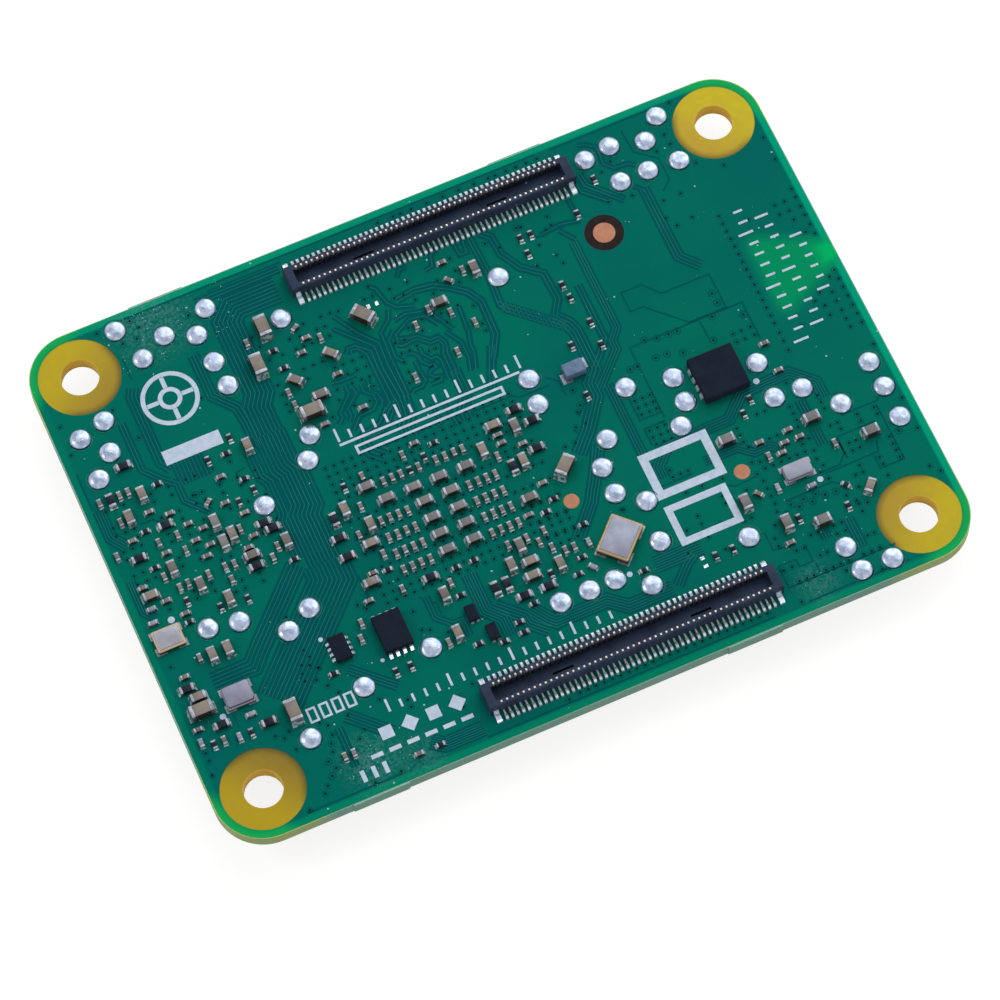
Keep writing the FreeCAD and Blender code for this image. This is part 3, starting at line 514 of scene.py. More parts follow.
@dataclass(frozen=True)
class MaskFinish(Finish):
    """Green solder mask: darker over copper, bright where light comes up through bare laminate."""

    roughness: float = 0.42
    specular: float = 0.015
    mottle: float = 110.0
    grain: float = 3500.0
    depth: float = 0.006
    fine: Colour = (12, 124, 108)
    fine_share: float = 0.10
    window_strong: Span = (0.70, 1.0)
    edge: Colour = (0, 141, 108)
    edge_left: Colour = (0, 127, 103)
    edge_far: Colour = (2, 161, 122)
    edge_right: Colour = (0, 170, 130)
    edge_share: float = 0.92
    left_end: Span = (-25.4, -26.9)
    far_side: Span = (17.0, 19.4)
    right_end: Span = (25.4, 26.9)
    corner: Colour = (26, 182, 92)
    window: Colour = (4, 172, 102)
    window_bright: Colour = (0, 192, 106)
    haze: Colour = (88, 144, 142)

    def tone(self, graph: Graph, effects: Effects) -> Socket:
        """Give the green of each zone of the board.

        Args:
            graph: the finish's node tree.
            effects: the shared node groups.

        Returns:
            The colour.
        """
        spot = graph.place()
        zones = graph.group(effects.zones)
        fine = graph.group(effects.mottle, scale=4200.0, contrast=1.2)["Share"]
        base = graph.coats(super().tone(graph, effects), (graph.times(fine, self.fine_share), self.fine))
        rim = graph.coats(linear(self.edge), (graph.over(spot.y, self.far_side), self.edge_far),
                          (graph.over(spot.x, self.left_end), self.edge_left),
                          (graph.over(spot.x, self.right_end), self.edge_right))
        base = graph.mix(graph.times(zones["Edge"], self.edge_share), base, rim)
        base = graph.coats(base, (zones["Window"], self.window),
                           (graph.ramp(zones["Window"], *self.window_strong), self.window_bright),
                           (zones["Corner"], self.corner))
        crust = graph.group(effects.mottle, scale=5200.0, contrast=2.0)["Share"]
        for x, y, reach, strength in FLUX_HAZE:
            distance = graph.length(graph.minus(spot.x, x * MM), graph.minus(spot.y, y * MM))
            near = graph.over(distance, (reach, 0.0))
            base = graph.coats(base, (graph.times(near, crust, strength), self.haze))
        return base


@dataclass(frozen=True)
class LaminateFinish(Finish):
    """Bare glass-epoxy: ochre in the rings, olive on the cut edge.

    The first colour is a ring's outer part and the second its inner part, both at the board's far right.
    """

    specular: float = 0.05
    grain: float = 5200.0
    depth: float = 0.010
    outer_left: Colour = (196, 168, 37)
    inner_left: Colour = (155, 130, 50)
    outward: Span = (-3.8, 2.6)
    left_to_right: Span = (-42.0, 42.0)
    blotch: Colour = (182, 150, 78)
    blotch_share: float = 0.18
    # Painted shade near the mask's rim, on each ring's inner side
    painted_shade: Colour = (86, 88, 52)
    painted_shade_ring: Span = (2.30, 2.98)
    painted_shade_inward: Span = (0.75, 0.25)
    painted_shade_share: float = 0.75
    # Painted light: the holes' walls are brighter than the ring so that they show as lit
    painted_lit_wall: Colour = (255, 216, 100)
    painted_lit_wall_ring: Span = (0.012, 0.003)
    side: Colour = (160, 212, 196)
    side_layers: Colour = (140, 162, 134)
    side_layer_share: float = 0.45
    side_corner: Colour = (214, 228, 140)
    side_corner_share: float = 0.8
    side_corner_ring: Span = (5.6, 3.7)
    weave_scale: float = 240.0
    layer_scale: float = 1100.0
    rim_inset: float = 0.2
    rim: Span = (-0.05, 0.1)
    past_ring: Span = (3.1, 3.3)

    def tone(self, graph: Graph, effects: Effects) -> Socket:
        """Give the rings' ochre and the cut edge's olive.

        Args:
            graph: the finish's node tree.
            effects: the shared node groups.

        Returns:
            The colour.
        """
        spot = graph.place()
        way, from_hole = past_hole(graph, spot)
        side = graph.over(past_outline(graph, spot, self.rim_inset), self.rim)
        past_ring = graph.over(from_hole, self.past_ring)
        return graph.mix(graph.math("MAXIMUM", side, past_ring),
                         self._ring(graph, effects, spot, way, from_hole),
                         self._side(graph, spot, from_hole))

    def _ring(self, graph: Graph, effects: Effects, spot: Spot, way: Socket, from_hole: Socket) -> Socket:
        """Give the ochre of the bare rings, brighter towards the board's corner, with painted shade near the
        mask on their inner side, and of the holes' walls, brightened as painted light.

        Args:
            graph: the finish's node tree.
            effects: the shared node groups.
            spot: the point.
            way: how far it lies outwards from the hole's middle.
            from_hole: its distance from there.

        Returns:
            The colour.
        """
        outward = graph.over(way, self.outward)
        across = graph.over(graph.plus(spot.x, spot.y), self.left_to_right)
        outer = graph.coats(linear(self.outer_left), (across, self.colour))
        inner = graph.coats(linear(self.inner_left), (across, self.second))
        blotch = graph.group(effects.mottle, scale=1500.0, contrast=1.0)["Share"]
        # Painted shade towards the mask on the ring's inner side, and painted light on the holes' walls
        painted_shade = graph.times(graph.over(from_hole, self.painted_shade_ring), graph.ramp(outward, *self.painted_shade_inward))
        near, far = (BOARD.hole_radius + off for off in self.painted_lit_wall_ring)
        return graph.coats(graph.mix(outward, inner, outer),
                           (graph.times(blotch, self.blotch_share), self.blotch),
                           (graph.times(painted_shade, self.painted_shade_share), self.painted_shade),
                           (graph.over(from_hole, (near, far)), self.painted_lit_wall))

    def _side(self, graph: Graph, spot: Spot, from_hole: Socket) -> Socket:
        """Give the olive of the cut edge, with the laminate's layers in it.

        Args:
            graph: the finish's node tree.
            spot: the point.
            from_hole: its distance from the nearest hole's middle.

        Returns:
            The colour.
        """
        wide_x, wide_y = (graph.times(part, self.weave_scale) for part in (spot.x, spot.y))
        tall = graph.times(spot.z, self.layer_scale)
        stretched = graph.add("CombineXYZ", {"X": wide_x, "Y": wide_y, "Z": tall}).outputs[0]
        layers = graph.add("TexWave", {"Vector": stretched, "Scale": 3.0, "Distortion": 1.5, "Detail": 2.0},
                           bands_direction="Z").outputs["Fac"]
        by_corner = graph.over(from_hole, self.side_corner_ring)
        return graph.coats(linear(self.side), (graph.times(layers, self.side_layer_share), self.side_layers),
                           (graph.times(by_corner, self.side_corner_share), self.side_corner))


@dataclass(frozen=True)
class PitchFinish(Finish):
    """Plating in rows of narrow leads, with painted shade towards each lead's sides."""

    # Painted shade at the sides of each lead
    painted_shade: Colour = (66, 78, 94)
    core: float = 0.055
    shaded_from: float = 0.095
    pitch: float = 0.4

    def narrow(self, graph: Graph, tone: Any, painted_shade: Colour) -> Socket:
        """Paint shade over a tone away from the middle line of each lead.

        Args:
            graph: the finish's node tree.
            tone: a linear colour or a socket.
            painted_shade: the colour of the painted shade at the lead's sides.

        Returns:
            The colour.
        """
        along = graph.minus(graph.place().x, BOARD.connector_x * MM)
        share = graph.math("FRACT", graph.math("DIVIDE", along, self.pitch * MM))
        off = graph.size(graph.minus(share, 0.5))
        beside = graph.ramp(off, self.core / self.pitch, self.shaded_from / self.pitch)
        return graph.coats(tone, (beside, painted_shade))

    def tone(self, graph: Graph, effects: Effects) -> Socket:
        """Give the plating with painted shade at its sides."""
        return self.narrow(graph, super().tone(graph, effects), self.painted_shade)


@dataclass(frozen=True)
class ContactFinish(PitchFinish):
    """Connector contacts: gold inside the housing, with painted shade lower down and at the leads' sides,
    tinned on the tails.
    """

    tail: Colour = (236, 242, 250)
    # Painted shade: the colour low in the trench, and the colour at the gold leads' sides
    painted_deep_shade: Colour = (96, 78, 58)
    gold_side_painted_shade: Colour = (58, 52, 52)
    lit: Span = (0.55, 1.02)
    overlap: float = 0.02

    def tone(self, graph: Graph, effects: Effects) -> Socket:
        """Give gold near the rows' tops, painted shade below them and at each lead's sides, and tin outside
        the housing.

        Args:
            graph: the finish's node tree.
            effects: the shared node groups.

        Returns:
            The colour.
        """
        spot = graph.place()
        gold = self.narrow(graph, Finish.tone(self, graph, effects), self.gold_side_painted_shade)
        low, high = (BOARD.face + level for level in self.lit)
        # Painted shade on the gold lower down in the trench
        gold = graph.mix(graph.over(spot.z, (low, high)), linear(self.painted_deep_shade), gold)
        off = graph.size(graph.minus(graph.size(spot.y), BOARD.connector_y * MM))
        outside = graph.math("GREATER_THAN", off, (BOARD.housing_half_width - self.overlap) * MM)
        return graph.mix(outside, gold, self.narrow(graph, linear(self.tail), self.painted_shade))


@dataclass(frozen=True)
class RimFinish(Finish):
    """The base of a timing part: ceramic below, its dark colour partly its own and partly painted shade, and
    a plated rim round its top.
    """

    roughness: float = 0.4
    metallic: float = 0.3
    rim: Colour = (160, 158, 170)
    rim_height: float = 0.30
    rim_edge: float = 0.02

    def tone(self, graph: Graph, effects: Effects) -> Socket:
        """Give the plated rim above a height, and the ceramic below it, darkened partly as painted shade.

        Args:
            graph: the finish's node tree.
            effects: the shared node groups.

        Returns:
            The colour.
        """
        high = BOARD.face + self.rim_height
        above = graph.over(graph.place().z, (high - self.rim_edge, high))
        return graph.coats(super().tone(graph, effects), (above, self.rim))


FINISHES: dict[str, Finish] = {finish.name: finish for finish in (
    MaskFinish("mask_over_copper", (0, 108, 100), (0, 117, 99), dust=0.10),
    MaskFinish("mask_back", (0, 102, 90), (0, 110, 90), dust=0.06),
    Finish("mask_over_gap", (0, 87, 91), (0, 94, 93), 0.42, specular=0.015, mottle=300.0),
    Finish("mask_over_trace", (30, 124, 115), (14, 113, 106), 0.40, specular=0.03),
    # Dark finish of the vias' dips, and painted shadow at the domes' feet
    Finish("mask_dip_and_painted_shade", (0, 50, 50), (0, 38, 42), 0.45, specular=0.02, mottle=2000.0),
    Finish("mask_swell", (48, 136, 120), (0, 104, 92), 0.40, specular=0.05, mottle=1600.0, contrast=2.0),
    LaminateFinish("bare_laminate", (218, 199, 46), (207, 173, 61), 0.55),
    Finish("print_white", (214, 228, 248), (195, 213, 236), 0.65, specular=0.10, mottle=2400.0, grain=9000.0,
           depth=0.006),
    Finish("bright_solder", (226, 234, 246), (188, 198, 214), 0.26, 0.5, mottle=3400.0, contrast=1.6,
           grain=5200.0, depth=0.012),
    Finish("dome_solder", (198, 210, 234), (162, 176, 204), 0.26, 0.6, mottle=2100.0, contrast=2.0,
           grain=4200.0, depth=0.016),
    Finish("end_cap_tin", (186, 190, 202), (150, 154, 166), 0.42, 0.35, mottle=2600.0, contrast=1.6,
           grain=9000.0, depth=0.008, painted_side_shade=(118, 121, 130)),
    Finish("fillet_solder", (242, 246, 252), (112, 142, 144), 0.22, 0.5, mottle=3600.0, contrast=3.0,
           grain=5200.0, depth=0.012),
    Finish("pad_solder", (160, 168, 182), (116, 124, 138), 0.3, 0.5, mottle=3400.0),
    Finish("speck_pale", (200, 230, 234), (136, 188, 184), specular=0.1, mottle=900.0, contrast=2.0),
    # Painted shade for the dark openings in the connectors' trenches
    Finish("recess_painted_shade", (8, 10, 16), (5, 7, 12), 0.7, specular=0.02, mottle=900.0),
    Finish("bare_copper", (202, 142, 112), (190, 130, 102), 0.5, 0.1, 0.1, 2600.0, grain=9000.0, depth=0.008),
    Finish("window_laminate", (50, 38, 40), (38, 30, 32), specular=0.05, mottle=1800.0),
    ContactFinish("contact_plating", (240, 232, 220), (226, 210, 188), 0.35, 0.4, mottle=3000.0, core=0.035,
                  shaded_from=0.085),
    PitchFinish("tail_solder", (234, 240, 250), (190, 200, 216), 0.26, 0.5, mottle=3400.0, contrast=1.6,
                core=0.07, shaded_from=0.12),
    Finish("connector_plastic", (58, 72, 98), (45, 56, 78), specular=0.10, mottle=700.0, grain=9000.0,
           depth=0.010, dust=0.05),
    Finish("chip_plastic", (28, 38, 54), (22, 30, 44), 0.55, specular=0.06, mottle=900.0, grain=9000.0,
           depth=0.012, dust=0.06),
    CapacitorFinish("capacitor_brown", (154, 145, 136), (124, 119, 115), painted_side_shade=(58, 50, 44)),
    CapacitorFinish("capacitor_small", (144, 136, 132), (120, 118, 118), mottle=700.0, painted_side_shade=(54, 48, 44)),
    CapacitorFinish("capacitor_grey", (142, 140, 140), (128, 128, 130), contrast=1.6, painted_side_shade=(58, 54, 50)),
    Finish("resistor_black", (34, 42, 58), (20, 26, 38), 0.38, specular=0.12, mottle=1200.0),
    Finish("inductor_pale", (166, 172, 194), (144, 150, 172), 0.35, specular=0.2, mottle=1500.0),
    Finish("ferrite", (120, 142, 172), (104, 128, 158), 0.6, specular=0.08, mottle=2600.0, contrast=1.5),
    # The bases' dark colours below their rims are partly painted shade on their sides
    RimFinish("crystal_a_rim", (58, 48, 40), (44, 38, 34), rim=(204, 184, 148), rim_height=0.26),
    RimFinish("crystal_b_rim", (52, 46, 44), (38, 36, 36), rim_height=0.16),
    RimFinish("crystal_c_rim", (66, 52, 40), (48, 40, 34), rim=(200, 172, 118), rim_height=0.40),
    RimFinish("oscillator_rim", (52, 46, 44), (38, 36, 36), rim_height=0.10),
    LidFinish("lid_metal", (157, 161, 178), (143, 147, 165)),
    LidFinish("lid_pale", (178, 177, 189), (162, 161, 175)),
    LidFinish("lid_dull", (147, 148, 167), (132, 133, 153)),
    BrushedFinish("spreader_metal", (204, 204, 208), (186, 186, 192), 0.30),
    Finish("package_substrate", (14, 92, 62), (10, 80, 54), 0.45, specular=0.1, mottle=800.0),
    Finish("silicon", (84, 86, 96), (70, 72, 84), 0.2, 0.4, mottle=600.0),
    BrushedFinish("shield_metal", (198, 198, 200), (180, 180, 184), 0.36, brush=600.0),
    Finish("socket_gold", (214, 184, 124), (200, 168, 108), 0.3, 0.8, mottle=900.0),
    Finish("led_white", (236, 234, 214), (226, 222, 196), 0.3, specular=0.4, mottle=1500.0),
    Finish("coil_grey", (92, 92, 98), (74, 74, 82), 0.6, specular=0.2, mottle=900.0, contrast=1.5),
)}

NODE_FINISH = {
    "part_solder_pads": "pad_solder", "chip_solder": "fillet_solder", "connector_tail_solder": "tail_solder",
    "board_laminate": "bare_laminate", "solder_mask_top": "mask_over_copper",
    "solder_mask_bottom": "mask_back", "silkscreen_marks": "print_white", "fiducial_pads": "bare_copper",
    "capacitor_end_caps": "end_cap_tin", "resistor_end_caps": "end_cap_tin",
    "capacitors_small": "capacitor_small", "capacitors_medium": "capacitor_brown",
    "capacitors_large": "capacitor_brown", "capacitors_grey": "capacitor_grey",
    "resistors_small": "resistor_black", "resistors_medium": "resistor_black",
    "inductors_small": "inductor_pale", "ferrite_body": "ferrite",
    "connector_1_contacts": "contact_plating", "connector_2_contacts": "contact_plating",
    "connector_1_housing": "connector_plastic", "connector_2_housing": "connector_plastic",
    "crystal_a_base": "crystal_a_rim", "crystal_b_base": "crystal_b_rim",
    "crystal_c_base": "crystal_c_rim", "oscillator_base": "oscillator_rim",
    "crystal_a_lid": "lid_pale", "crystal_b_lid": "lid_dull", "crystal_c_lid": "lid_metal",
    "oscillator_lid": "lid_metal", "processor_heat_spreader": "spreader_metal",
    "processor_substrate": "package_substrate", "processor_die": "silicon",
    "wireless_shield_can": "shield_metal", "antenna_socket_ring": "socket_gold",
    "antenna_socket_pin": "socket_gold", "status_led": "led_white", "power_inductors": "coil_grey",
}
SOLDER_WORDS = ("solder", "_pads", "_leads", "hold_downs")


@dataclass(frozen=True)
class Bundle:
    """Traces that run side by side along one centre line, in millimetres."""

    count: int
    pitch: float
    path: Path
    width: float = 0.06


# Traces in copper-free channels, read off the face from left to right and top to bottom
BUNDLES = [
    Bundle(7, 0.29, [(-9.0, 17.08), (-12.3, 17.08), (-13.15, 16.2), (-13.15, 10.3), (-13.75, 9.4),
                     (-13.75, 7.2)]),
    Bundle(3, 0.25, [(-16.24, 14.8), (-16.24, 11.4), (-15.0, 9.9), (-14.85, 8.6), (-14.85, 6.6)]),
    Bundle(3, 0.26, [(-21.0, 14.2), (-21.3, 13.6), (-21.3, 8.2), (-20.8, 7.5)]),
    Bundle(2, 0.24, [(-22.7, 12.0), (-22.7, 8.2), (-21.6, 6.9), (-20.9, 6.3), (-20.9, 4.9), (-19.6, 3.4)]),
    Bundle(8, 0.27, [(-19.65, 7.8), (-19.65, 6.0)]),
    Bundle(2, 0.25, [(-8.3, 18.5), (-14.6, 18.5)]),
    Bundle(2, 0.28, [(-1.8, 12.9), (-0.4, 13.1), (0.9, 12.9), (1.9, 12.3), (2.9, 11.5), (3.5, 10.4),
                     (3.4, 7.7), (2.5, 6.1)]),
    Bundle(2, 0.28, [(5.4, 15.4), (6.1, 14.7), (6.2, 13.2), (7.0, 11.7), (8.3, 10.6), (8.4, 8.4),
                     (7.7, 7.3)]),
    Bundle(2, 0.26, [(4.7, 15.4), (4.8, 12.4), (4.6, 9.6), (5.0, 8.9)]),
    Bundle(3, 0.25, [(17.36, 13.8), (17.36, 7.9), (18.5, 6.6)]),
    Bundle(3, 0.2, [(11.18, 12.0), (11.18, 4.7), (10.5, 3.9), (10.5, 3.2), (9.0, 1.7), (8.2, 0.9)]),
    Bundle(2, 0.26, [(10.1, 8.8), (10.1, 4.3), (9.2, 3.2), (8.0, 2.0)]),
    Bundle(4, 0.25, [(7.6, 7.2), (8.3, 6.3), (8.5, 5.6), (8.5, 2.4), (7.75, 1.6), (7.75, 0.5), (6.2, -1.6),
                     (4.9, -3.0)]),
    Bundle(3, 0.21, [(8.85, 1.0), (8.85, -4.8)]),
    Bundle(8, 0.28, [(-13.75, 7.2), (-13.75, 4.6), (-13.45, 4.0), (-13.45, 1.2), (-13.95, 0.6),
                     (-13.95, -3.2)]),
    Bundle(3, 0.26, [(-15.5, 6.4), (-15.5, 4.4), (-15.15, 3.8), (-15.15, 1.2), (-15.45, 0.8),
                     (-15.45, -2.2)]),
    Bundle(11, 0.29, [(-14.0, -3.2), (-14.0, -4.6), (-18.3, -8.9), (-20.6, -11.2)]),
    Bundle(5, 0.28, [(-15.8, -2.6), (-16.6, -3.4), (-17.9, -4.7), (-20.6, -7.4), (-21.3, -8.2),
                     (-24.2, -8.2)]),
    Bundle(4, 0.2, [(-26.5, 6.6), (-26.5, 4.4), (-25.8, 3.4)]),
    Bundle(3, 0.18, [(-26.5, 0.9), (-26.5, -1.6), (-25.9, -2.3)]),
    Bundle(5, 0.2, [(-5.5, -8.0), (-5.5, -10.9), (-4.6, -11.9), (-4.6, -13.3)]),
    Bundle(2, 0.22, [(-8.8, -8.3), (-8.8, -10.0), (-7.9, -10.9), (-7.2, -10.9), (-7.2, -12.1)]),
    Bundle(4, 0.22, [(-4.8, -10.9), (-3.3, -12.4), (-3.2, -13.0), (-2.2, -14.0)]),
    Bundle(5, 0.2, [(-2.7, -12.0), (-1.9, -13.2), (-1.5, -13.6), (2.2, -13.6), (3.4, -14.6), (6.6, -14.6)]),
    Bundle(6, 0.19, [(6.2, -12.6), (9.6, -12.6)]),
    Bundle(3, 0.22, [(9.0, -12.9), (8.2, -13.4), (7.0, -14.6)]),
    Bundle(4, 0.2, [(9.4, -7.0), (9.4, -6.1), (10.5, -5.0), (13.4, -4.85), (15.3, -4.85), (16.9, -3.4),
                    (20.5, -3.3), (21.9, -4.7), (21.9, -6.0)]),
    Bundle(3, 0.2, [(12.4, -7.0), (14.9, -7.0), (15.8, -7.8), (17.0, -7.8), (17.6, -8.4)]),
    Bundle(3, 0.22, [(20.3, -5.5), (20.3, -6.6)]),
    Bundle(3, 0.22, [(20.3, -7.9), (20.3, -9.2)]),
    Bundle(3, 0.22, [(19.5, -14.8), (19.5, -17.1)]),
    Bundle(3, 0.22, [(17.6, -14.7), (17.6, -15.6)]),
    Bundle(3, 0.3, [(-5.5, 5.5), (-6.4, 4.5), (-7.9, 4.2), (-8.2, 3.6), (-7.9, 3.0), (-7.2, 2.3)]),
    Bundle(3, 0.28, [(-0.3, 6.4), (-0.3, 4.4), (-0.9, 3.4), (-0.9, 2.6)]),
    Bundle(4, 0.28, [(-4.4, 6.0), (-4.5, 4.6), (-5.0, 3.9), (-5.0, 2.9)]),
    Bundle(2, 0.3, [(2.8, 7.0), (1.9, 5.0), (1.5, 3.9)]),
    Bundle(3, 0.22, [(-15.6, -11.0), (-13.0, -13.5)]),
    Bundle(4, 0.22, [(-17.0, -14.0), (-14.6, -16.4)]),
    Bundle(2, 0.24, [(-17.8, -14.6), (-17.8, -17.6)]),
    Bundle(6, 0.17, [(-12.6, -18.0), (-11.8, -18.6), (-9.0, -18.6)]),
    Bundle(4, 0.22, [(2.2, -8.8), (4.2, -6.6), (5.3, -4.8), (6.4, -2.8)]),
    Bundle(2, 0.24, [(13.7, 16.7), (13.8, 15.7), (14.8, 14.6), (15.8, 13.5)]),
]

# Single traces, each in its own channel, read off the face
LINES = [
    [(-3.1, 9.7), (-2.8, 9.5), (-1.7, 9.6), (-1.0, 8.9), (-0.4, 8.9), (-0.2, 8.5), (-0.5, 7.8), (-0.5, 5.9)],
    [(-2.8, 10.1), (-2.2, 9.9), (-1.6, 9.8), (-0.9, 9.15), (-0.3, 9.15), (0.0, 8.6), (-0.2, 7.6),
     (-0.2, 5.9)],
    [(-2.9, 8.8), (-2.4, 8.7), (-2.1, 8.3), (-2.1, 7.8), (-1.7, 7.4), (-1.4, 7.4), (-1.3, 7.1), (-1.8, 7.0),
     (-2.0, 6.7), (-1.7, 6.4), (-1.3, 6.3), (-1.4, 6.0), (-2.2, 6.0)],
    [(-1.8, 8.9), (-1.8, 8.4), (-1.4, 7.8), (-1.0, 7.8), (-0.8, 7.4), (-0.9, 5.9)],
    [(-2.5, 8.1), (-2.4, 6.4), (-2.8, 6.1), (-3.4, 6.1), (-3.6, 5.9)],
    [(-2.9, 10.9), (-3.5, 10.3), (-3.6, 8.9), (-3.2, 8.4)], [(-3.8, 10.7), (-3.9, 8.9), (-3.9, 5.9)],
    [(-6.3, 13.6), (-5.3, 11.8), (-4.2, 10.4), (-4.3, 8.5), (-4.2, 5.8)],
    [(-6.7, 12.7), (-4.6, 10.3), (-4.7, 8.3), (-4.5, 6.0)],
    [(-6.6, 10.5), (-6.3, 10.9), (-5.8, 10.9), (-4.95, 10.1), (-5.0, 8.8), (-4.9, 6.0), (-5.5, 5.4)],
    [(-6.2, 10.4), (-6.2, 10.7), (-5.7, 10.6), (-5.3, 9.9), (-5.3, 5.9), (-5.8, 5.5)],
    [(-7.6, 8.4), (-7.6, 7.7), (-8.7, 6.6), (-8.7, 6.2), (-9.1, 5.8)],
    [(-7.2, 8.0), (-7.1, 7.5), (-8.1, 6.7), (-8.1, 6.1), (-8.4, 5.7)],
    [(-6.6, 8.0), (-6.6, 7.4), (-6.1, 6.9), (-6.1, 6.3), (-6.5, 5.9), (-7.6, 5.8), (-8.4, 5.0)],
    [(-6.0, 8.2), (-6.2, 7.3), (-5.8, 6.9), (-5.7, 6.2), (-5.9, 5.9)],
    [(-8.4, 8.9), (-7.8, 8.8), (-6.6, 8.8)], [(0.3, 9.3), (1.0, 8.1), (1.0, 6.8), (0.7, 5.8)],
    [(1.8, 8.8), (1.5, 7.7), (1.5, 7.1), (1.1, 5.8)], [(-2.7, 4.7), (-2.7, 3.1), (-3.1, 2.9)],
    [(-2.0, 4.6), (-1.7, 2.4)], [(-8.0, 4.2), (-7.0, 4.1), (-6.6, 4.3)],
    [(-3.2, 14.7), (-2.8, 14.3), (-2.5, 13.0), (-2.0, 12.4), (-0.8, 12.0)],
    [(-2.6, 12.5), (-2.9, 11.8), (-3.8, 11.0), (-3.8, 10.5)],
    [(-2.6, 11.5), (-1.7, 11.7), (-0.6, 11.4), (0.3, 11.5)], [(1.9, 10.7), (1.9, 10.2), (1.75, 8.8)],
    [(-0.1, 11.1), (0.4, 10.2), (0.9, 9.2)],
    [(-3.0, 9.8), (-2.9, 10.5), (-1.6, 11.2), (-0.5, 11.0), (0.1, 10.0)],
    [(2.5, 15.6), (1.7, 15.1), (1.5, 14.3), (0.9, 14.2)], [(-1.1, 14.5), (-0.7, 15.0), (-0.2, 15.0)],
    [(3.5, 15.4), (3.6, 14.3), (4.1, 14.3), (4.2, 15.4)],
    [(13.2, 16.3), (13.3, 15.3), (14.1, 14.5), (14.7, 13.9)],
    [(14.5, 18.8), (15.1, 18.6), (15.7, 18.1), (15.6, 16.7), (16.1, 16.1), (17.2, 16.0), (17.6, 15.7)],
    [(12.2, 15.2), (12.2, 14.2)], [(12.3, 13.3), (10.9, 13.6), (9.3, 13.4)], [(10.6, 13.2), (11.4, 12.1)],
    [(16.8, 14.2), (17.2, 13.8), (17.36, 13.4)],
]

# Thin gaps cut through the copper, each one line
GAPS = [
    [(12.55, 5.4), (12.55, 7.0), (14.1, 6.97), (15.1, 5.8), (18.7, 5.8), (18.7, 3.0), (15.9, 3.0),
     (13.5, 5.4), (12.55, 5.4)],
    [(11.35, -2.9), (11.35, 2.9), (19.85, 2.9), (19.85, -0.2)], [(16.6, 2.8), (16.6, 1.3)],
    [(9.7, -0.5), (9.7, -2.4), (11.3, -2.4)], [(9.7, -4.4), (9.7, -3.1), (11.3, -3.1)],
    [(8.8, 13.35), (12.2, 13.35)], [(12.3, 15.2), (12.3, 14.2)],
    [(17.8, 18.6), (17.9, 16.7), (19.3, 15.5), (19.3, 13.7), (18.5, 13.0)], [(-20.5, 19.38), (11.5, 19.38)],
    [(12.6, 19.3), (21.0, 19.3)], [(-13.5, 18.98), (-8.0, 18.98)],
    [(21.4, -10.8), (21.4, -9.05), (24.3, -9.05)],
    [(19.4, -11.0), (20.7, -11.0), (21.35, -10.35), (21.35, -9.5)],
    [(19.5, -11.2), (23.5, -11.2), (23.75, -10.4)],
    [(23.1, -11.3), (23.1, -12.4), (24.9, -12.4), (24.9, -8.0)],
    [(13.7, -16.1), (13.7, -17.8), (18.2, -17.8), (21.6, -17.8)],
    [(13.7, -16.1), (15.0, -16.1), (15.0, -16.7), (16.0, -16.7), (16.0, -15.4)],
    [(16.1, -16.9), (16.1, -17.7)], [(13.9, -13.4), (13.9, -14.9), (14.9, -15.0)],
    [(16.2, -11.95), (19.7, -11.95), (20.2, -12.4)], [(-23.8, -10.9), (-23.8, -11.9)],
    [(-22.0, -19.3), (-15.2, -19.3)], [(14.5, -19.25), (22.0, -19.25)], [(-9.0, -19.3), (12.0, -19.3)],
    [(9.0, -7.5), (11.3, -7.5)], [(13.5, -7.4), (13.5, -8.1)], [(22.4, -7.7), (25.1, -7.7), (25.6, -7.2)],
    [(12.9, -9.1), (13.6, -9.55), (15.1, -9.45)], [(5.9, 1.4), (5.9, 2.6), (5.2, 3.2)],
    [(5.3, -1.2), (5.8, -2.0), (5.3, -2.7), (4.6, -2.4)], [(6.0, -0.4), (6.9, 0.4), (6.9, 0.9)],
    [(-15.9, 12.2), (-15.9, 15.0)], [(-16.5, 4.3), (-17.0, 4.8), (-16.9, 5.4), (-16.2, 5.5)],
    [(-26.9, 9.8), (-26.9, 6.8)], [(-24.3, 4.5), (-23.4, 4.5), (-23.0, 4.1)], [(-20.8, 14.8), (-20.8, 16.6)],
    [(-13.0, -7.4), (-12.3, -6.7), (-12.3, -5.0)], [(-9.2, -8.2), (-8.3, -9.1), (-8.3, -9.9)],
    [(-7.6, 3.1), (-3.4, 3.1)], [(-0.9, 2.9), (2.6, 2.9), (2.9, 2.6), (5.2, 2.6)],
]


def grid(xs: Iterable[float], ys: Iterable[float]) -> list[Point]:
    """Give every pair of an x and a y."""
    return [(x, y) for y in ys for x in xs]


def steps(start: float, pitch: float, count: int) -> list[float]:
    """Give evenly spaced values."""
    return [start + pitch * index for index in range(count)]


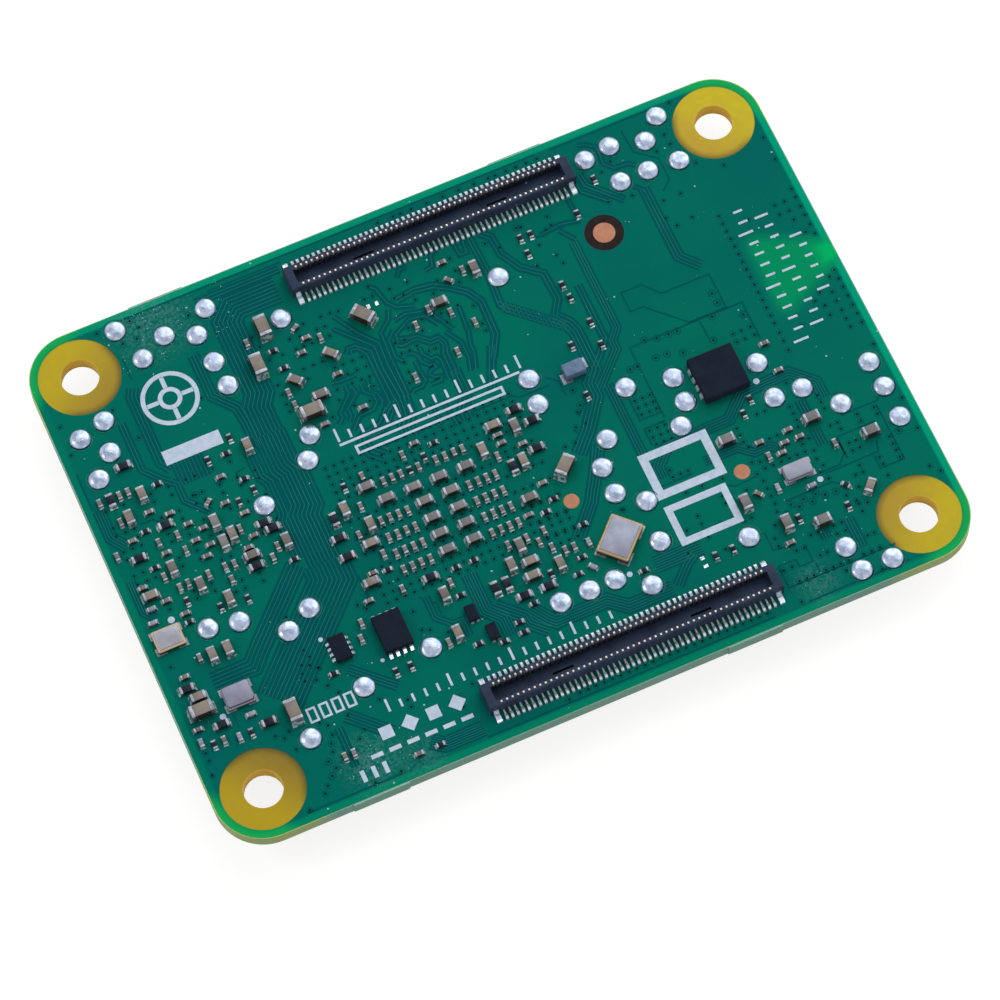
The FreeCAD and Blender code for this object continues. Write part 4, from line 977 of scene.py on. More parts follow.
# Vias: those that stand in rows, then the others
VIAS: list[Point] = (
    grid(steps(-11.28, 0.65, 22), (3.14, 2.51, 1.85, 1.22, 0.57, -1.2, -2.5, -3.8, -5.1, -6.4, -7.05, -7.7))
    + grid((-24.8, -22.82, -21.53), (6.33, 5.66, 4.37, 3.72, 3.07, 2.44, 1.14, 0.48, -1.49, -2.11))
    + grid((-20.25, -19.58, -18.28), (6.33, 5.03, 4.37, 3.07, 1.77, -0.19, -2.11, -2.76))
    + grid((-26.11, -25.43, -16.98, -15.68), (6.33, 5.03, 4.37, 3.07, 2.44, 1.14, 0.48))
    + grid((21.22,), steps(9.6, -0.65, 15) + [-0.31, -0.98, -1.76])
    + grid((26.72,), (9.44, 8.76, 7.96, 7.22, 6.42, 5.62, 2.51, 1.77, 1.08, 0.33, -0.45, -1.17, -1.9, -3.75,
                    -8.23, -10.71, -14.23))
    + grid((25.86,), (8.76, 7.96, 7.2, 1.03, 0.29, -0.49, -1.21, -1.91))
    + grid((-0.64, 0.54, 1.08, 1.91, 3.09, 4.32, 5.52, 6.7, 7.78, 8.32, 9.15, 9.91, 10.68, 11.51), (19.0,))
    + grid((10.0, 10.58, 11.13), (-0.93, -1.49, -2.04, -3.37, -3.94, -4.49, -7.18))
    + grid((18.25, 18.88, 19.59), (0.93, 0.26)) + grid((15.47, 19.47, 21.55), (-5.68, -6.24, -6.78))
    + grid((15.62, 17.18, 17.77, 19.32), (-7.28,)) + grid(steps(15.98, 0.6, 6), (-9.18,))
    + grid((21.91, 23.41, 24.66), (-8.09, -8.63, -11.6, -12.16)) + grid(steps(-2.17, 0.598, 24), (-18.9,))
    + grid((0.4, 1.07, 1.7, 2.36), (-0.74, -5.26, -6.58, -7.88, -8.5)) + grid((10.33, 11.52), (-8.09, -8.61))
    + grid((13.37,), (-5.73, -6.28, -6.84)) + grid((10.33,), (-10.49, -11.1, -11.61, -12.19))
    + grid((12.44, 12.98), (-9.83, -10.42)) + grid((15.48,), (-10.59, -11.19, -11.82))
    + grid((14.54, 15.1, 15.62, 16.51, 17.07, 17.62, 18.2, 19.33, 19.91, 20.52), (-17.64,))
    + grid((13.93, 14.54, 16.63, 17.16, 20.15, 20.63), (-16.5,))
    + grid((15.33, 15.87, 18.36, 18.97), (-15.56,)) + grid((16.67, 17.21, 18.38, 18.97), (-14.92,))
    + grid((14.36, 20.61), (-14.15, -14.75))
    + [(-26.6, 13.53), (-22.85, 13.23), (-26.7, 11.24), (-22.0, 10.57), (-16.94, 11.57), (-21.7, 19.1),
       (-19.26, 19.07), (-18.84, 18.35), (-20.34, 17.63), (-19.32, 17.6), (-15.4, 17.8), (16.12, 16.68),
       (15.22, 16.14), (20.43, 17.05), (20.52, 16.2), (19.41, 16.05), (21.53, 14.09), (21.82, 19.22),
       (14.7, 13.81), (16.42, 13.58), (18.24, 12.32), (19.54, 12.32), (23.23, 13.1), (26.68, 13.95),
       (26.68, 12.05), (17.81, 10.99), (19.5, 10.32), (18.27, 10.16), (10.31, 14.53), (10.31, 13.81),
       (9.82, 13.63), (8.92, 12.72), (9.68, 11.5), (8.13, 11.31), (9.87, 10.76), (2.83, 14.35), (2.81, 13.32),
       (1.37, 13.13), (0.73, 12.33), (5.52, 14.39), (6.33, 13.7), (8.32, 14.53), (25.12, 8.76), (25.12, 7.96),
       (26.2, 5.99), (26.2, 2.18), (25.06, 1.34), (24.96, 0.29), (24.5, 0.88), (22.96, 8.53), (5.54, -1.07),
       (6.26, -1.07), (4.27, -2.11), (5.04, -2.11), (10.01, -6.63), (13.02, -8.67), (6.0, -8.02),
       (10.33, -9.17), (6.1, -0.06), (24.97, -0.51), (22.86, -0.4), (20.02, -3.95), (17.18, -5.28),
       (17.78, -5.28), (21.37, -8.11), (15.35, -8.39), (15.86, -8.6), (19.61, -8.39), (19.07, -8.58),
       (15.31, -9.34), (19.57, -9.34), (15.47, -9.97), (19.47, -9.97), (21.96, -9.8), (22.49, -9.8),
       (21.96, -10.42), (22.51, -10.41), (24.66, -10.51), (24.66, -11.08), (-17.79, -10.86), (-17.35, -10.08),
       (-17.28, -11.54), (-26.52, -12.64), (-26.52, -13.23), (-26.71, -14.27), (-21.85, -13.43),
       (-21.35, -13.81), (-20.88, -13.48), (-20.94, -14.86), (-18.8, -13.75), (-18.37, -14.16),
       (-18.37, -14.89), (-18.67, -15.43), (-18.79, -16.02), (-19.04, -17.16), (-20.02, -18.09),
       (-20.4, -18.52), (-21.77, -19.15), (-16.82, -12.28), (-16.89, -14.04), (-16.79, -15.91),
       (-16.26, -15.38), (-14.51, -13.85), (-17.08, -19.15), (-15.2, -19.12), (-9.97, -10.45),
       (-9.47, -10.66), (-8.44, -11.31), (-12.81, -14.66), (-12.81, -15.22), (-8.44, -15.38), (-9.62, -15.86),
       (-9.62, -16.63), (-3.01, -19.06), (9.22, -11.16), (9.22, -11.74), (13.04, -12.11), (13.6, -12.11),
       (12.5, -11.65), (11.56, -11.65), (8.6, -12.74), (11.02, -13.48), (14.16, -10.12), (19.66, -10.59),
       (19.26, -11.0), (19.57, -11.63), (15.33, -12.42), (15.91, -12.74), (14.8, -13.27), (20.11, -13.27),
       (20.59, -13.87), (21.19, -14.31), (17.76, -18.24), (14.04, -19.06), (19.99, -19.13), (26.19, -13.61),
       (21.36, -12.13), (23.34, -13.06), (21.16, -13.02), (-26.33, -6.0), (-17.77, -8.52), (-17.57, -9.12),
       (-18.3, -9.46), (-17.8, -9.7), (-6.4, 13.9), (-7.1, 13.9), (-8.4, 13.9), (-7.1, 13.1), (-7.7, 13.1),
       (-7.1, 12.3), (-9.0, 13.1), (-8.4, 12.3), (-9.0, 12.3), (-9.6, 12.3), (-10.6, 12.3), (-11.6, 12.3),
       (-8.3, 10.7), (-9.0, 10.7), (-9.7, 10.7), (-7.1, 9.9), (-7.7, 9.9), (-7.1, 9.1), (-6.4, 9.1),
       (-5.7, 9.1), (-5.7, 9.9), (-6.4, 9.9), (-5.8, 8.3), (-6.4, 8.3), (-7.1, 8.3), (-5.8, 7.5), (-8.2, 8.3),
       (-8.4, 7.5), (-6.5, 6.6), (-7.6, 6.7), (-9.7, 9.9), (-11.8, 10.3), (-11.8, 9.5), (-11.8, 8.7),
       (-11.8, 8.1), (-1.9, 10.6), (-2.5, 9.9), (-3.2, 9.9), (-3.1, 9.0), (-3.2, 8.3), (-2.5, 9.0),
       (-3.2, 7.5), (-3.5, 6.7), (-9.3, 6.5), (-5.8, 13.8), (-3.2, 14.7), (-1.9, 13.9), (-3.2, 13.9),
       (-3.8, 13.9), (-1.9, 13.1), (-1.2, 13.1), (-0.6, 13.9), (-0.6, 12.4), (2.7, 12.4), (1.9, 10.8),
       (2.9, 10.3), (0.6, 10.7), (0.7, 9.9), (0.0, 10.8), (-0.8, 10.8), (-1.1, 10.0), (-1.9, 9.1),
       (-1.3, 8.4), (-0.8, 8.4), (2.9, 8.8), (2.9, 8.2), (-9.7, 13.2), (-12.0, 14.4), (-11.8, 13.5),
       (-9.75, -3.0), (-17.9, -5.85), (-13.2, -7.0), (-12.75, -7.5), (5.83, -7.93), (-9.98, -8.98)]
)
RINGED_VIAS: list[Point] = [
    (12.51, 3.04), (13.36, 2.79), (14.22, 2.74), (14.86, 2.74), (17.53, 2.72), (18.25, 4.35), (18.29, 3.56),
    (19.55, 1.98), (12.67, 1.47), (13.5, 1.43), (10.7, 1.39), (11.24, 1.39), (14.54, 1.06), (16.84, 1.06),
    (-18.5, -10.05), (-18.53, -10.63), (-19.32, -16.54), (-19.49, -17.56), (25.44, -10.37), (6.48, 1.58),
    (6.48, 0.33), (-17.38, -10.1), (16.42, -12.32), (17.37, -12.32), (18.27, -12.3), (16.88, -12.71),
    (17.84, -12.72), (18.83, -12.61), (19.62, -12.69), (8.0, 14.6), (-20.05, 5.0),
]


class Layer(Enum):
    """Heights above the mask, in millimetres, at which thin relief lies."""

    GAP = 0.001
    TRACE = 0.008
    VIA = 0.015


def add_object(name: str, data: Any) -> bpy.types.Object:
    """Make an object and put it in the scene.

    Args:
        name: its name.
        data: its mesh, lamp or camera.

    Returns:
        The object.
    """
    made = bpy.data.objects.new(name, data)
    bpy.context.scene.collection.objects.link(made)
    return made


class Workshop:
    """Turns bmesh work into finished pieces that ride on the board."""

    smooth_angle = math.radians(52.0)

    def __init__(self, materials: dict[str, bpy.types.Material]) -> None:
        """Keep the finishes that the pieces take."""
        self.materials = materials

    def piece(self, name: str, mesh: Mesh, finish: str, smooth: bool = False) -> bpy.types.Object:
        """Make an object of a bmesh, dress it and let it ride.

        Args:
            name: the piece's name.
            mesh: the shape in millimetres. It is freed here.
            finish: the name of its finish.
            smooth: whether its faces are shaded smooth.

        Returns:
            The new object, at the origin.
        """
        bmesh.ops.recalc_face_normals(mesh, faces=mesh.faces)
        bmesh.ops.scale(mesh, vec=Vector((MM, MM, MM)), verts=mesh.verts)
        data = bpy.data.meshes.new(name)
        mesh.to_mesh(data)
        mesh.free()
        data.polygons.foreach_set("use_smooth", [smooth] * len(data.polygons))
        if smooth:
            data.set_sharp_from_angle(angle=self.smooth_angle)
        data.materials.append(self.materials[finish])
        made = add_object(name, data)
        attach(made, BODY)
        LOG.info("%s: %d faces", name, len(data.polygons))
        return made


class Batch:
    """A large mesh that is filled from small ones, so that the bmesh operators stay quick."""

    def __init__(self, limit: int = 40) -> None:
        """Start empty.

        Args:
            limit: how many shapes are made before they are joined to the rest.
        """
        self.limit = limit
        self.count = 0
        self.whole = bmesh.new()
        self.part = bmesh.new()

    def next(self) -> Mesh:
        """Make room for one more shape.

        Returns:
            The small mesh that it goes into.
        """
        if self.count >= self.limit:
            self._join()
        self.count += 1
        return self.part

    def done(self) -> Mesh:
        """End the batch.

        Returns:
            The whole mesh.
        """
        self._join()
        self.part.free()
        return self.whole

    def _join(self) -> None:
        """Move the small mesh's shapes to the large one."""
        data = bpy.data.meshes.new("batch")
        self.part.to_mesh(data)
        self.whole.from_mesh(data)
        bpy.data.meshes.remove(data)
        self.part.clear()
        self.count = 0


def offset_path(path: Path, distance: float) -> list[Vector]:
    """Shift a line of straight runs sideways, with mitred corners.

    Args:
        path: its points.
        distance: how far to the left of the way it runs.

    Returns:
        The shifted points.
    """
    points = [Vector(point) for point in path]
    runs = [(after - before).normalized() for before, after in zip(points, points[1:])]
    sides = [Vector((-run.y, run.x)) for run in runs]
    moved = [points[0] + sides[0] * distance]
    for point, before, after in zip(points[1:-1], sides, sides[1:]):
        middle = (before + after).normalized()
        moved.append(point + middle * (distance / max(0.4, middle.dot(before))))
    moved.append(points[-1] + sides[-1] * distance)
    return moved


def wavy(start: Point, end: Point, count: int, swing: float) -> list[Vector]:
    """Give a square wave along a straight line.

    Args:
        start: where it starts.
        end: where it ends.
        count: its number of half waves.
        swing: how far it swings to each side.

    Returns:
        The wave's corners.
    """
    first, run = Vector(start), Vector(end) - Vector(start)
    side = Vector((-run.y, run.x)).normalized() * swing
    spots = []
    for index in range(count):
        way = side if index % 2 else -side
        spots += [first + run * ((index + 0.15) / count) + way, first + run * ((index + 0.85) / count) + way]
    return spots


def lay_ribbon(mesh: Mesh, path: Path, width: float, height: float, thickness: float) -> None:
    """Lay a flat closed ribbon along a path: a first edge is extruded from point to point.

    Args:
        mesh: the bmesh that it is added to.
        path: the ribbon's middle, in millimetres.
        width: its width.
        height: the height of its underside.
        thickness: its thickness.
    """
    left, right = offset_path(path, width / 2), offset_path(path, -width / 2)
    ends = [mesh.verts.new((spot.x, spot.y, height)) for spot in (left[0], right[0])]
    edge = mesh.edges.new(ends)
    strip = []
    for spot_left, spot_right in zip(left[1:], right[1:]):
        grown = bmesh.ops.extrude_edge_only(mesh, edges=[edge])["geom"]
        edge = next(item for item in grown if isinstance(item, bmesh.types.BMEdge)
                    and not any(end in item.verts for end in ends))
        strip += [item for item in grown if isinstance(item, bmesh.types.BMFace)]
        fresh = {}
        for item in edge.verts:
            old = next(other.other_vert(item) for other in item.link_edges if other.other_vert(item) in ends)
            fresh[old] = item
        fresh[ends[0]].co = (spot_left.x, spot_left.y, height)
        fresh[ends[1]].co = (spot_right.x, spot_right.y, height)
        ends = [fresh[ends[0]], fresh[ends[1]]]
    grown = bmesh.ops.extrude_face_region(mesh, geom=strip, use_keep_orig=True)["geom"]
    top = [item for item in grown if isinstance(item, bmesh.types.BMVert)]
    bmesh.ops.translate(mesh, vec=Vector((0.0, 0.0, thickness)), verts=top)


def lay_disc(mesh: Mesh, spot: Point, radius: float, height: float, thickness: float, segments: int) -> None:
    """Lay a thin closed disc on the face.

    Args:
        mesh: the bmesh that it is added to.
        spot: its centre, in millimetres.
        radius: its radius.
        height: the height of its underside.
        thickness: its thickness.
        segments: how many sides it has.
    """
    place = Matrix.Translation((spot[0], spot[1], height + thickness / 2))
    bmesh.ops.create_cone(mesh, cap_ends=True, segments=segments, radius1=radius, radius2=radius,
                          depth=thickness, matrix=place)


def lay_ring(mesh: Mesh, spot: Point, radius: float, line: float, height: float, thickness: float,
             start: float = 0.0, sweep: float = 2 * math.pi, count: int = 24) -> None:
    """Spin a small upright rectangle into a ring or an arc.

    Args:
        mesh: the bmesh that it is added to.
        spot: the ring's centre.
        radius: the middle of its line.
        line: how wide the line is.
        height: the height of its underside.
        thickness: its thickness.
        start: the angle at which an arc starts.
        sweep: the angle that it covers.
        count: how many steps the spin takes.
    """
    way = Vector((math.cos(start), math.sin(start), 0.0))
    centre = Vector((spot[0], spot[1], 0.0))
    inner, outer, top = radius - line / 2, radius + line / 2, height + thickness
    corners = [(inner, height), (outer, height), (outer, top), (inner, top)]
    verts = [mesh.verts.new(centre + way * reach + Vector((0.0, 0.0, z))) for reach, z in corners]
    face = mesh.faces.new(verts)
    whole = sweep >= 2 * math.pi - 0.001
    geometry = list(face.verts) + list(face.edges) + ([] if whole else [face])
    bmesh.ops.spin(mesh, geom=geometry, cent=centre, axis=(0.0, 0.0, 1.0), angle=sweep, steps=count,
                   use_merge=whole)
    if whole:
        bmesh.ops.delete(mesh, geom=[face], context="FACES_ONLY")


@dataclass
class CopperRelief:
    """Traces, gaps and vias that show through the mask of the connector face."""

    thickness: float = 0.002
    gap_width: float = 0.13
    channel_margin: float = 0.16
    bundle_step: float = 0.0001
    line_width: float = 0.06
    line_channel: float = 0.46
    meander_start: Point = (4.5, 9.6)
    meander_end: Point = (8.2, 6.1)
    meander_shifts: tuple[float, ...] = (-0.36, 0.0, 0.36)
    meander_halves: int = 30
    meander_swing: float = 0.06
    meander_channel: float = 0.34
    via_radius: float = 0.098
    via_sides: int = 10
    via_pad_radius: float = 0.21
    via_pad_line: float = 0.05
    via_pad_sides: int = 9
    via_ring_radius: float = 0.25
    via_ring_line: float = 0.07
    via_ring_sides: int = 16
    gap_height: float = BOARD.face + Layer.GAP.value
    trace_height: float = BOARD.face + Layer.TRACE.value

    def build(self, shop: Workshop) -> None:
        """Build the channels, the traces, the gaps and the vias.

        Args:
            shop: the workshop that makes the pieces.
        """
        channels, traces, dips = Batch(), Batch(), Batch()
        self._bundles(channels, traces)
        self._single_lines(channels, traces)
        for path in GAPS:
            self._ribbon(channels, path, self.gap_width, self.gap_height)
        for spot in VIAS:
            lay_ring(channels.next(), spot, self.via_pad_radius, self.via_pad_line, self.gap_height,
                     self.thickness, count=self.via_pad_sides)
        for spot in RINGED_VIAS:
            lay_ring(channels.next(), spot, self.via_ring_radius, self.via_ring_line, self.trace_height,
                     self.thickness, count=self.via_ring_sides)
        for spot in VIAS + RINGED_VIAS:
            lay_disc(dips.next(), spot, self.via_radius, BOARD.face + Layer.VIA.value, self.thickness,
                     self.via_sides)
        shop.piece("copper_gaps", channels.done(), "mask_over_gap")
        shop.piece("copper_traces", traces.done(), "mask_over_trace")
        shop.piece("via_dips", dips.done(), "mask_dip_and_painted_shade")

    def _bundles(self, channels: Batch, traces: Batch) -> None:
        """Lay each bundle's channel and its traces, each bundle a little above the last.

        Args:
            channels: the batch of channels.
            traces: the batch of traces.
        """
        for index, bundle in enumerate(BUNDLES):
            step = self.bundle_step * index
            wide = bundle.count * bundle.pitch + self.channel_margin
            self._ribbon(channels, bundle.path, wide, self.gap_height + step)
            for line in range(bundle.count):
                middle = (line - (bundle.count - 1) / 2) * bundle.pitch
                self._ribbon(traces, offset_path(bundle.path, middle), bundle.width, self.trace_height + step)

    def _single_lines(self, channels: Batch, traces: Batch) -> None:
        """Lay the single traces and the wavy ones, each in its channel.

        Args:
            channels: the batch of channels.
            traces: the batch of traces.
        """
        for index, path in enumerate(LINES):
            step = self.bundle_step * (index + 0.5)
            self._ribbon(channels, path, self.line_channel, self.gap_height + step)
            self._ribbon(traces, path, self.line_width, self.trace_height + step)
        for up in self.meander_shifts:
            start, end = ((x, y + up) for x, y in (self.meander_start, self.meander_end))
            wave = wavy(start, end, self.meander_halves, self.meander_swing)
            self._ribbon(channels, [start, end], self.meander_channel, self.gap_height + self.thickness * up)
            self._ribbon(traces, wave, self.line_width, self.trace_height)

    def _ribbon(self, batch: Batch, path: Path, width: float, height: float) -> None:
        """Lay one ribbon of the relief's thickness."""
        lay_ribbon(batch.next(), path, width, height, self.thickness)


@dataclass
class FiducialWindow:
    """The dark bare laminate round the large copper fiducial."""

    spot: Point = (13.43, 11.75)
    inner: float = 0.78
    outer: float = 1.40
    gap: float = 0.01
    sunk: float = 0.028
    thickness: float = 0.004
    steps: int = 48

    def build(self, shop: Workshop) -> None:
        """Build a thin dark ring in the window of the mask.

        Args:
            shop: the workshop that makes the pieces.
        """
        ring = bmesh.new()
        lay_ring(ring, self.spot, (self.inner + self.outer) / 2, self.outer - self.inner - self.gap,
                 BOARD.face - self.sunk, self.thickness, count=self.steps)
        shop.piece("fiducial_window", ring, "window_laminate")


def islands(mesh: Mesh) -> list[list[bmesh.types.BMVert]]:
    """Split a mesh into its separate pieces.

    Args:
        mesh: the bmesh, with its doubled vertices merged.

    Returns:
        The vertices of each piece.
    """
    left = set(mesh.verts)
    found = []
    while left:
        island = [left.pop()]
        for vert in island:
            fresh = {other for edge in vert.link_edges for other in edge.verts} & left
            left -= fresh
            island.extend(fresh)
        found.append(island)
    return found


@dataclass
class SolderDomes:
    """Domes of solder on the test pads, each a little uneven, with a nick at one edge."""

    radius: float = 0.74
    height: float = 0.33
    seed: int = 11
    turns: int = 36
    rings: int = 18
    bulge: float = 0.05
    bulge_scale: float = 1.6
    ripple: float = 0.035
    ripple_scale: float = 3.2
    flattest: float = 0.25
    nick_degrees: Span = (-108.0, -72.0)
    nick_depth: float = 0.30
    nick_reach: float = 0.20
    nick_place: float = 0.93
    halo_reach: float = 0.13
    halo_line: float = 0.05
    halo_thickness: float = 0.006
    halo_sweep: Span = (2.2, 4.6)
    # Painted shadow: a dark arc along one side of each dome's foot
    halo_steps: int = 22
    painted_shade_reach: float = 0.02
    painted_shade_line: float = 0.07
    painted_shade_lift: float = 0.001
    painted_shade_thickness: float = 0.002
    painted_shade_degrees: Span = (185.0, 225.0)
    painted_shade_sweep: Span = (1.8, 2.6)
    painted_shade_steps: int = 16

    def places(self) -> list[Point]:
        """Read the domes' places from the solids.

        Returns:
            The centre of each, in millimetres.
        """
        mesh = bmesh.new()
        mesh.from_mesh(bpy.data.objects["solder_domes"].data)
        bmesh.ops.remove_doubles(mesh, verts=mesh.verts, dist=1e-7)
        found = []
        for island in islands(mesh):
            xs = [vert.co.x for vert in island]
            ys = [vert.co.y for vert in island]
            found.append(((min(xs) + max(xs)) / 2 / MM, (min(ys) + max(ys)) / 2 / MM))
        mesh.free()
        return sorted(found)

    def build(self, shop: Workshop) -> None:
        """Build the domes, the swollen mask round them and a painted shadow along part of their feet.

        Args:
            shop: the workshop that makes the pieces.
        """
        rng = random.Random(self.seed)
        domes, halos, painted_shades = Batch(1), Batch(), Batch()
        for spot in self.places():
            self._dome(domes.next(), spot, rng)
            start = rng.uniform(0.0, 2 * math.pi)
            lay_ring(halos.next(), spot, self.radius + self.halo_reach, self.halo_line,
                     BOARD.face + Layer.VIA.value, self.halo_thickness, start,
                     rng.uniform(*self.halo_sweep), self.halo_steps)
            # Painted shadow: a dark arc at the dome's foot, starting within a fixed range of angles
            start = math.radians(rng.uniform(*self.painted_shade_degrees))
            lay_ring(painted_shades.next(), spot, self.radius + self.painted_shade_reach, self.painted_shade_line,
                     BOARD.face + Layer.TRACE.value + self.painted_shade_lift, self.painted_shade_thickness, start,
                     rng.uniform(*self.painted_shade_sweep), self.painted_shade_steps)
        made = shop.piece("dome_caps", domes.done(), "dome_solder", smooth=True)
        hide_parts("solder_domes")
        shop.piece("dome_halos", halos.done(), "mask_swell")
        shop.piece("dome_shades", painted_shades.done(), "mask_dip_and_painted_shade")

    def _dome(self, mesh: Mesh, spot: Point, rng: random.Random) -> None:
        """Shape one dome out of a sphere cut at its middle.

        Args:
            mesh: the empty bmesh that it goes into.
            spot: its centre, in millimetres.
            rng: the source of its unevenness.
        """
        made = bmesh.ops.create_uvsphere(mesh, u_segments=self.turns, v_segments=self.rings,
                                         radius=1.0)["verts"]
        bmesh.ops.delete(mesh, geom=[vert for vert in made if vert.co.z < -0.001], context="VERTS")
        verts = [vert for vert in made if vert.is_valid]
        shift = Vector((rng.uniform(0, 50), rng.uniform(0, 50), 0.0))
        nick = math.radians(rng.uniform(*self.nick_degrees))
        nick_way = Vector((math.cos(nick), math.sin(nick), 0.0))
        flat = rng.uniform(0.0, self.flattest)
        for vert in verts:
            way = vert.co.copy()
            bulge = 1.0 + self.bulge * noise.noise(way * self.bulge_scale + shift)
            vert.co = Vector((way.x * self.radius * bulge, way.y * self.radius * bulge, 0.0))
            level = way.z * (1.0 - flat * way.z)
            ripple = self.ripple * noise.noise(way * self.ripple_scale + shift)
            near = max(0.0, 1.0 - (way - nick_way * self.nick_place).length / self.nick_reach)
            rise = level + ripple * (1 - (1.0 - way.z) ** 4) - self.nick_depth * near
            vert.co.z = self.height * max(0.0, rise)
        bmesh.ops.edgeloop_fill(mesh, edges=[edge for edge in mesh.edges if edge.is_boundary])
        bmesh.ops.translate(mesh, vec=Vector((*spot, BOARD.face)), verts=verts)


# The nodes shown with softened edges, grouped under finish names that the code does not read: how far each
# node's edges are cut back
SOFT_EDGES: dict[str, dict[str, float]] = {
    "capacitor_brown": {"capacitors_small": 0.030, "capacitors_medium": 0.040, "capacitors_large": 0.050},
    "capacitor_grey": {"capacitors_grey": 0.040},
    "end_cap_tin": {"capacitor_end_caps": 0.034, "resistor_end_caps": 0.028},
    "resistor_black": {"resistors_small": 0.016, "resistors_medium": 0.020},
    "inductor_pale": {"inductors_small": 0.034},
    "ferrite": {"ferrite_body": 0.040},
    "chip_plastic": {"power_switch_body": 0.040, "flash_chip_body": 0.040, "level_shifter_body": 0.040,
                     "transistor_bodies": 0.040},
    "lid_metal": {"crystal_b_lid": 0.080, "oscillator_lid": 0.060, "crystal_a_lid": 0.030,
                  "crystal_c_lid": 0.030},
}


@dataclass
class SoftEdges:
    """Copies of chips with softened edges, which stand for the solids."""

    merge: float = 1e-4
    flat_angle: float = math.radians(1.5)
    sharp_angle: float = 0.5

    def build(self, shop: Workshop) -> None:
        """Build every copy.

        Args:
            shop: the workshop that makes the pieces.
        """
        for slot, offsets in SOFT_EDGES.items():
            for node, offset in offsets.items():
                mesh = self._softened(node, offset)
                made = shop.piece(node + "_softened", mesh, finish_of(node), smooth=True)
                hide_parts(node)

    def _softened(self, node: str, offset: float) -> Mesh:
        """Copy a node's shape, clean its faces and bevel its sharp edges.

        Args:
            node: the node's name.
            offset: how far the edges are cut back, in millimetres.

        Returns:
            The copy, in millimetres.
        """
        mesh = bmesh.new()
        mesh.from_mesh(bpy.data.objects[node].data)
        bmesh.ops.scale(mesh, vec=Vector((1 / MM, 1 / MM, 1 / MM)), verts=mesh.verts)
        bmesh.ops.remove_doubles(mesh, verts=mesh.verts, dist=self.merge)
        bmesh.ops.dissolve_limit(mesh, angle_limit=self.flat_angle, verts=mesh.verts, edges=mesh.edges)
        sharp = [edge for edge in mesh.edges
                 if edge.is_manifold and edge.calc_face_angle(0.0) > self.sharp_angle]
        bmesh.ops.bevel(mesh, geom=sharp, offset=offset, offset_type="OFFSET", segments=1, profile=0.5,
                        affect="EDGES", clamp_overlap=True, material=-1)
        return mesh


@dataclass
class ConnectorRecessShades:
    """Dark plates on the floors of the connectors' trenches, painted shade where the openings there look
    dark.
    """

    length: float = 1.5
    width: float = 0.15
    offset: float = 5.05
    aside: float = 0.03
    floor: float = 0.22
    thickness: float = 0.012

    def build(self, shop: Workshop) -> None:
        """Build two painted shade plates in each connector.

        Args:
            shop: the workshop that makes the pieces.
        """
        mesh = bmesh.new()
        for y in (BOARD.connector_y, -BOARD.connector_y):
            for side in (-1, 1):
                made = bmesh.ops.create_cube(mesh, size=1.0)["verts"]
                bmesh.ops.scale(mesh, vec=Vector((self.length, self.width, self.thickness)), verts=made)
                spot = Vector((BOARD.connector_x + side * self.offset, y - self.aside,
                               BOARD.face + self.floor + self.thickness / 2))
                bmesh.ops.translate(mesh, vec=spot, verts=made)
        shop.piece("connector_recesses", mesh, "recess_painted_shade")


@dataclass
class FluxSpecks:
    """Tiny pale specks of dried flux on the mask."""

    seed: int = 5
    smallest: float = 0.012
    largest: float = 0.044
    sides: int = 6
    lift: float = 0.003
    thickness: float = 0.003
    connector_reach: Point = (11.5, 1.9)
    patches: tuple[tuple[float, float, float, float, int], ...] = (
        (-21.5, 15.2, -12.5, 19.6, 130), (-19.0, -19.4, -13.0, -16.0, 46), (12.5, -19.4, 20.0, -14.5, 30),
        (-26.0, -12.0, 26.0, 19.0, 120))

    def build(self, shop: Workshop) -> None:
        """Scatter the specks over a few patches, clear of the holes and the connectors.

        Args:
            shop: the workshop that makes the pieces.
        """
        rng = random.Random(self.seed)
        specks = Batch()
        height = BOARD.face + Layer.VIA.value + self.lift
        for low_x, low_y, high_x, high_y, count in self.patches:
            for _ in range(count):
                x, y = rng.uniform(low_x, high_x), rng.uniform(low_y, high_y)
                radius = rng.uniform(self.smallest, self.largest) * rng.uniform(0.6, 1.0)
                if not self._covered(x, y):
                    lay_disc(specks.next(), (x, y), radius, height, self.thickness, self.sides)
        shop.piece("flux_specks", specks.done(), "speck_pale")

    def _covered(self, x: float, y: float) -> bool:
        """Tell whether a place is taken.

        Args:
            x: its X, in millimetres.
            y: its Y.

        Returns:
            True on a hole's ring and at a connector.
        """
        reach_x, reach_y = self.connector_reach
        near_hole = math.hypot(abs(x) - BOARD.hole_x, abs(y) - BOARD.hole_y) < BOARD.ring_radius
        near_connector = abs(abs(y) - BOARD.connector_y) < reach_y and abs(x - BOARD.connector_x) < reach_x
        return near_hole or near_connector


@dataclass(frozen=True)
class Softbox:
    """A square lamp turned to the board's middle.

    Its distance and its side are in millimetres. Its level is how bright a white face turned to it renders.
    """

    name: str
    way: tuple[float, float, float]
    distance: float
    side: float
    level: float

    def build(self) -> None:
        """Hang the lamp."""
        data = bpy.data.lights.new(self.name, "AREA")
        data.shape = "SQUARE"
        data.size = self.side * MM
        data.energy = self.level * math.pi ** 2 * (self.distance * MM) ** 2
        lamp = add_object(self.name, data)
        way = Vector(self.way)
        spot = way.normalized() * self.distance
        lamp.location = spot * MM
        lamp.rotation_euler = way.to_track_quat("Z", "Y").to_euler()


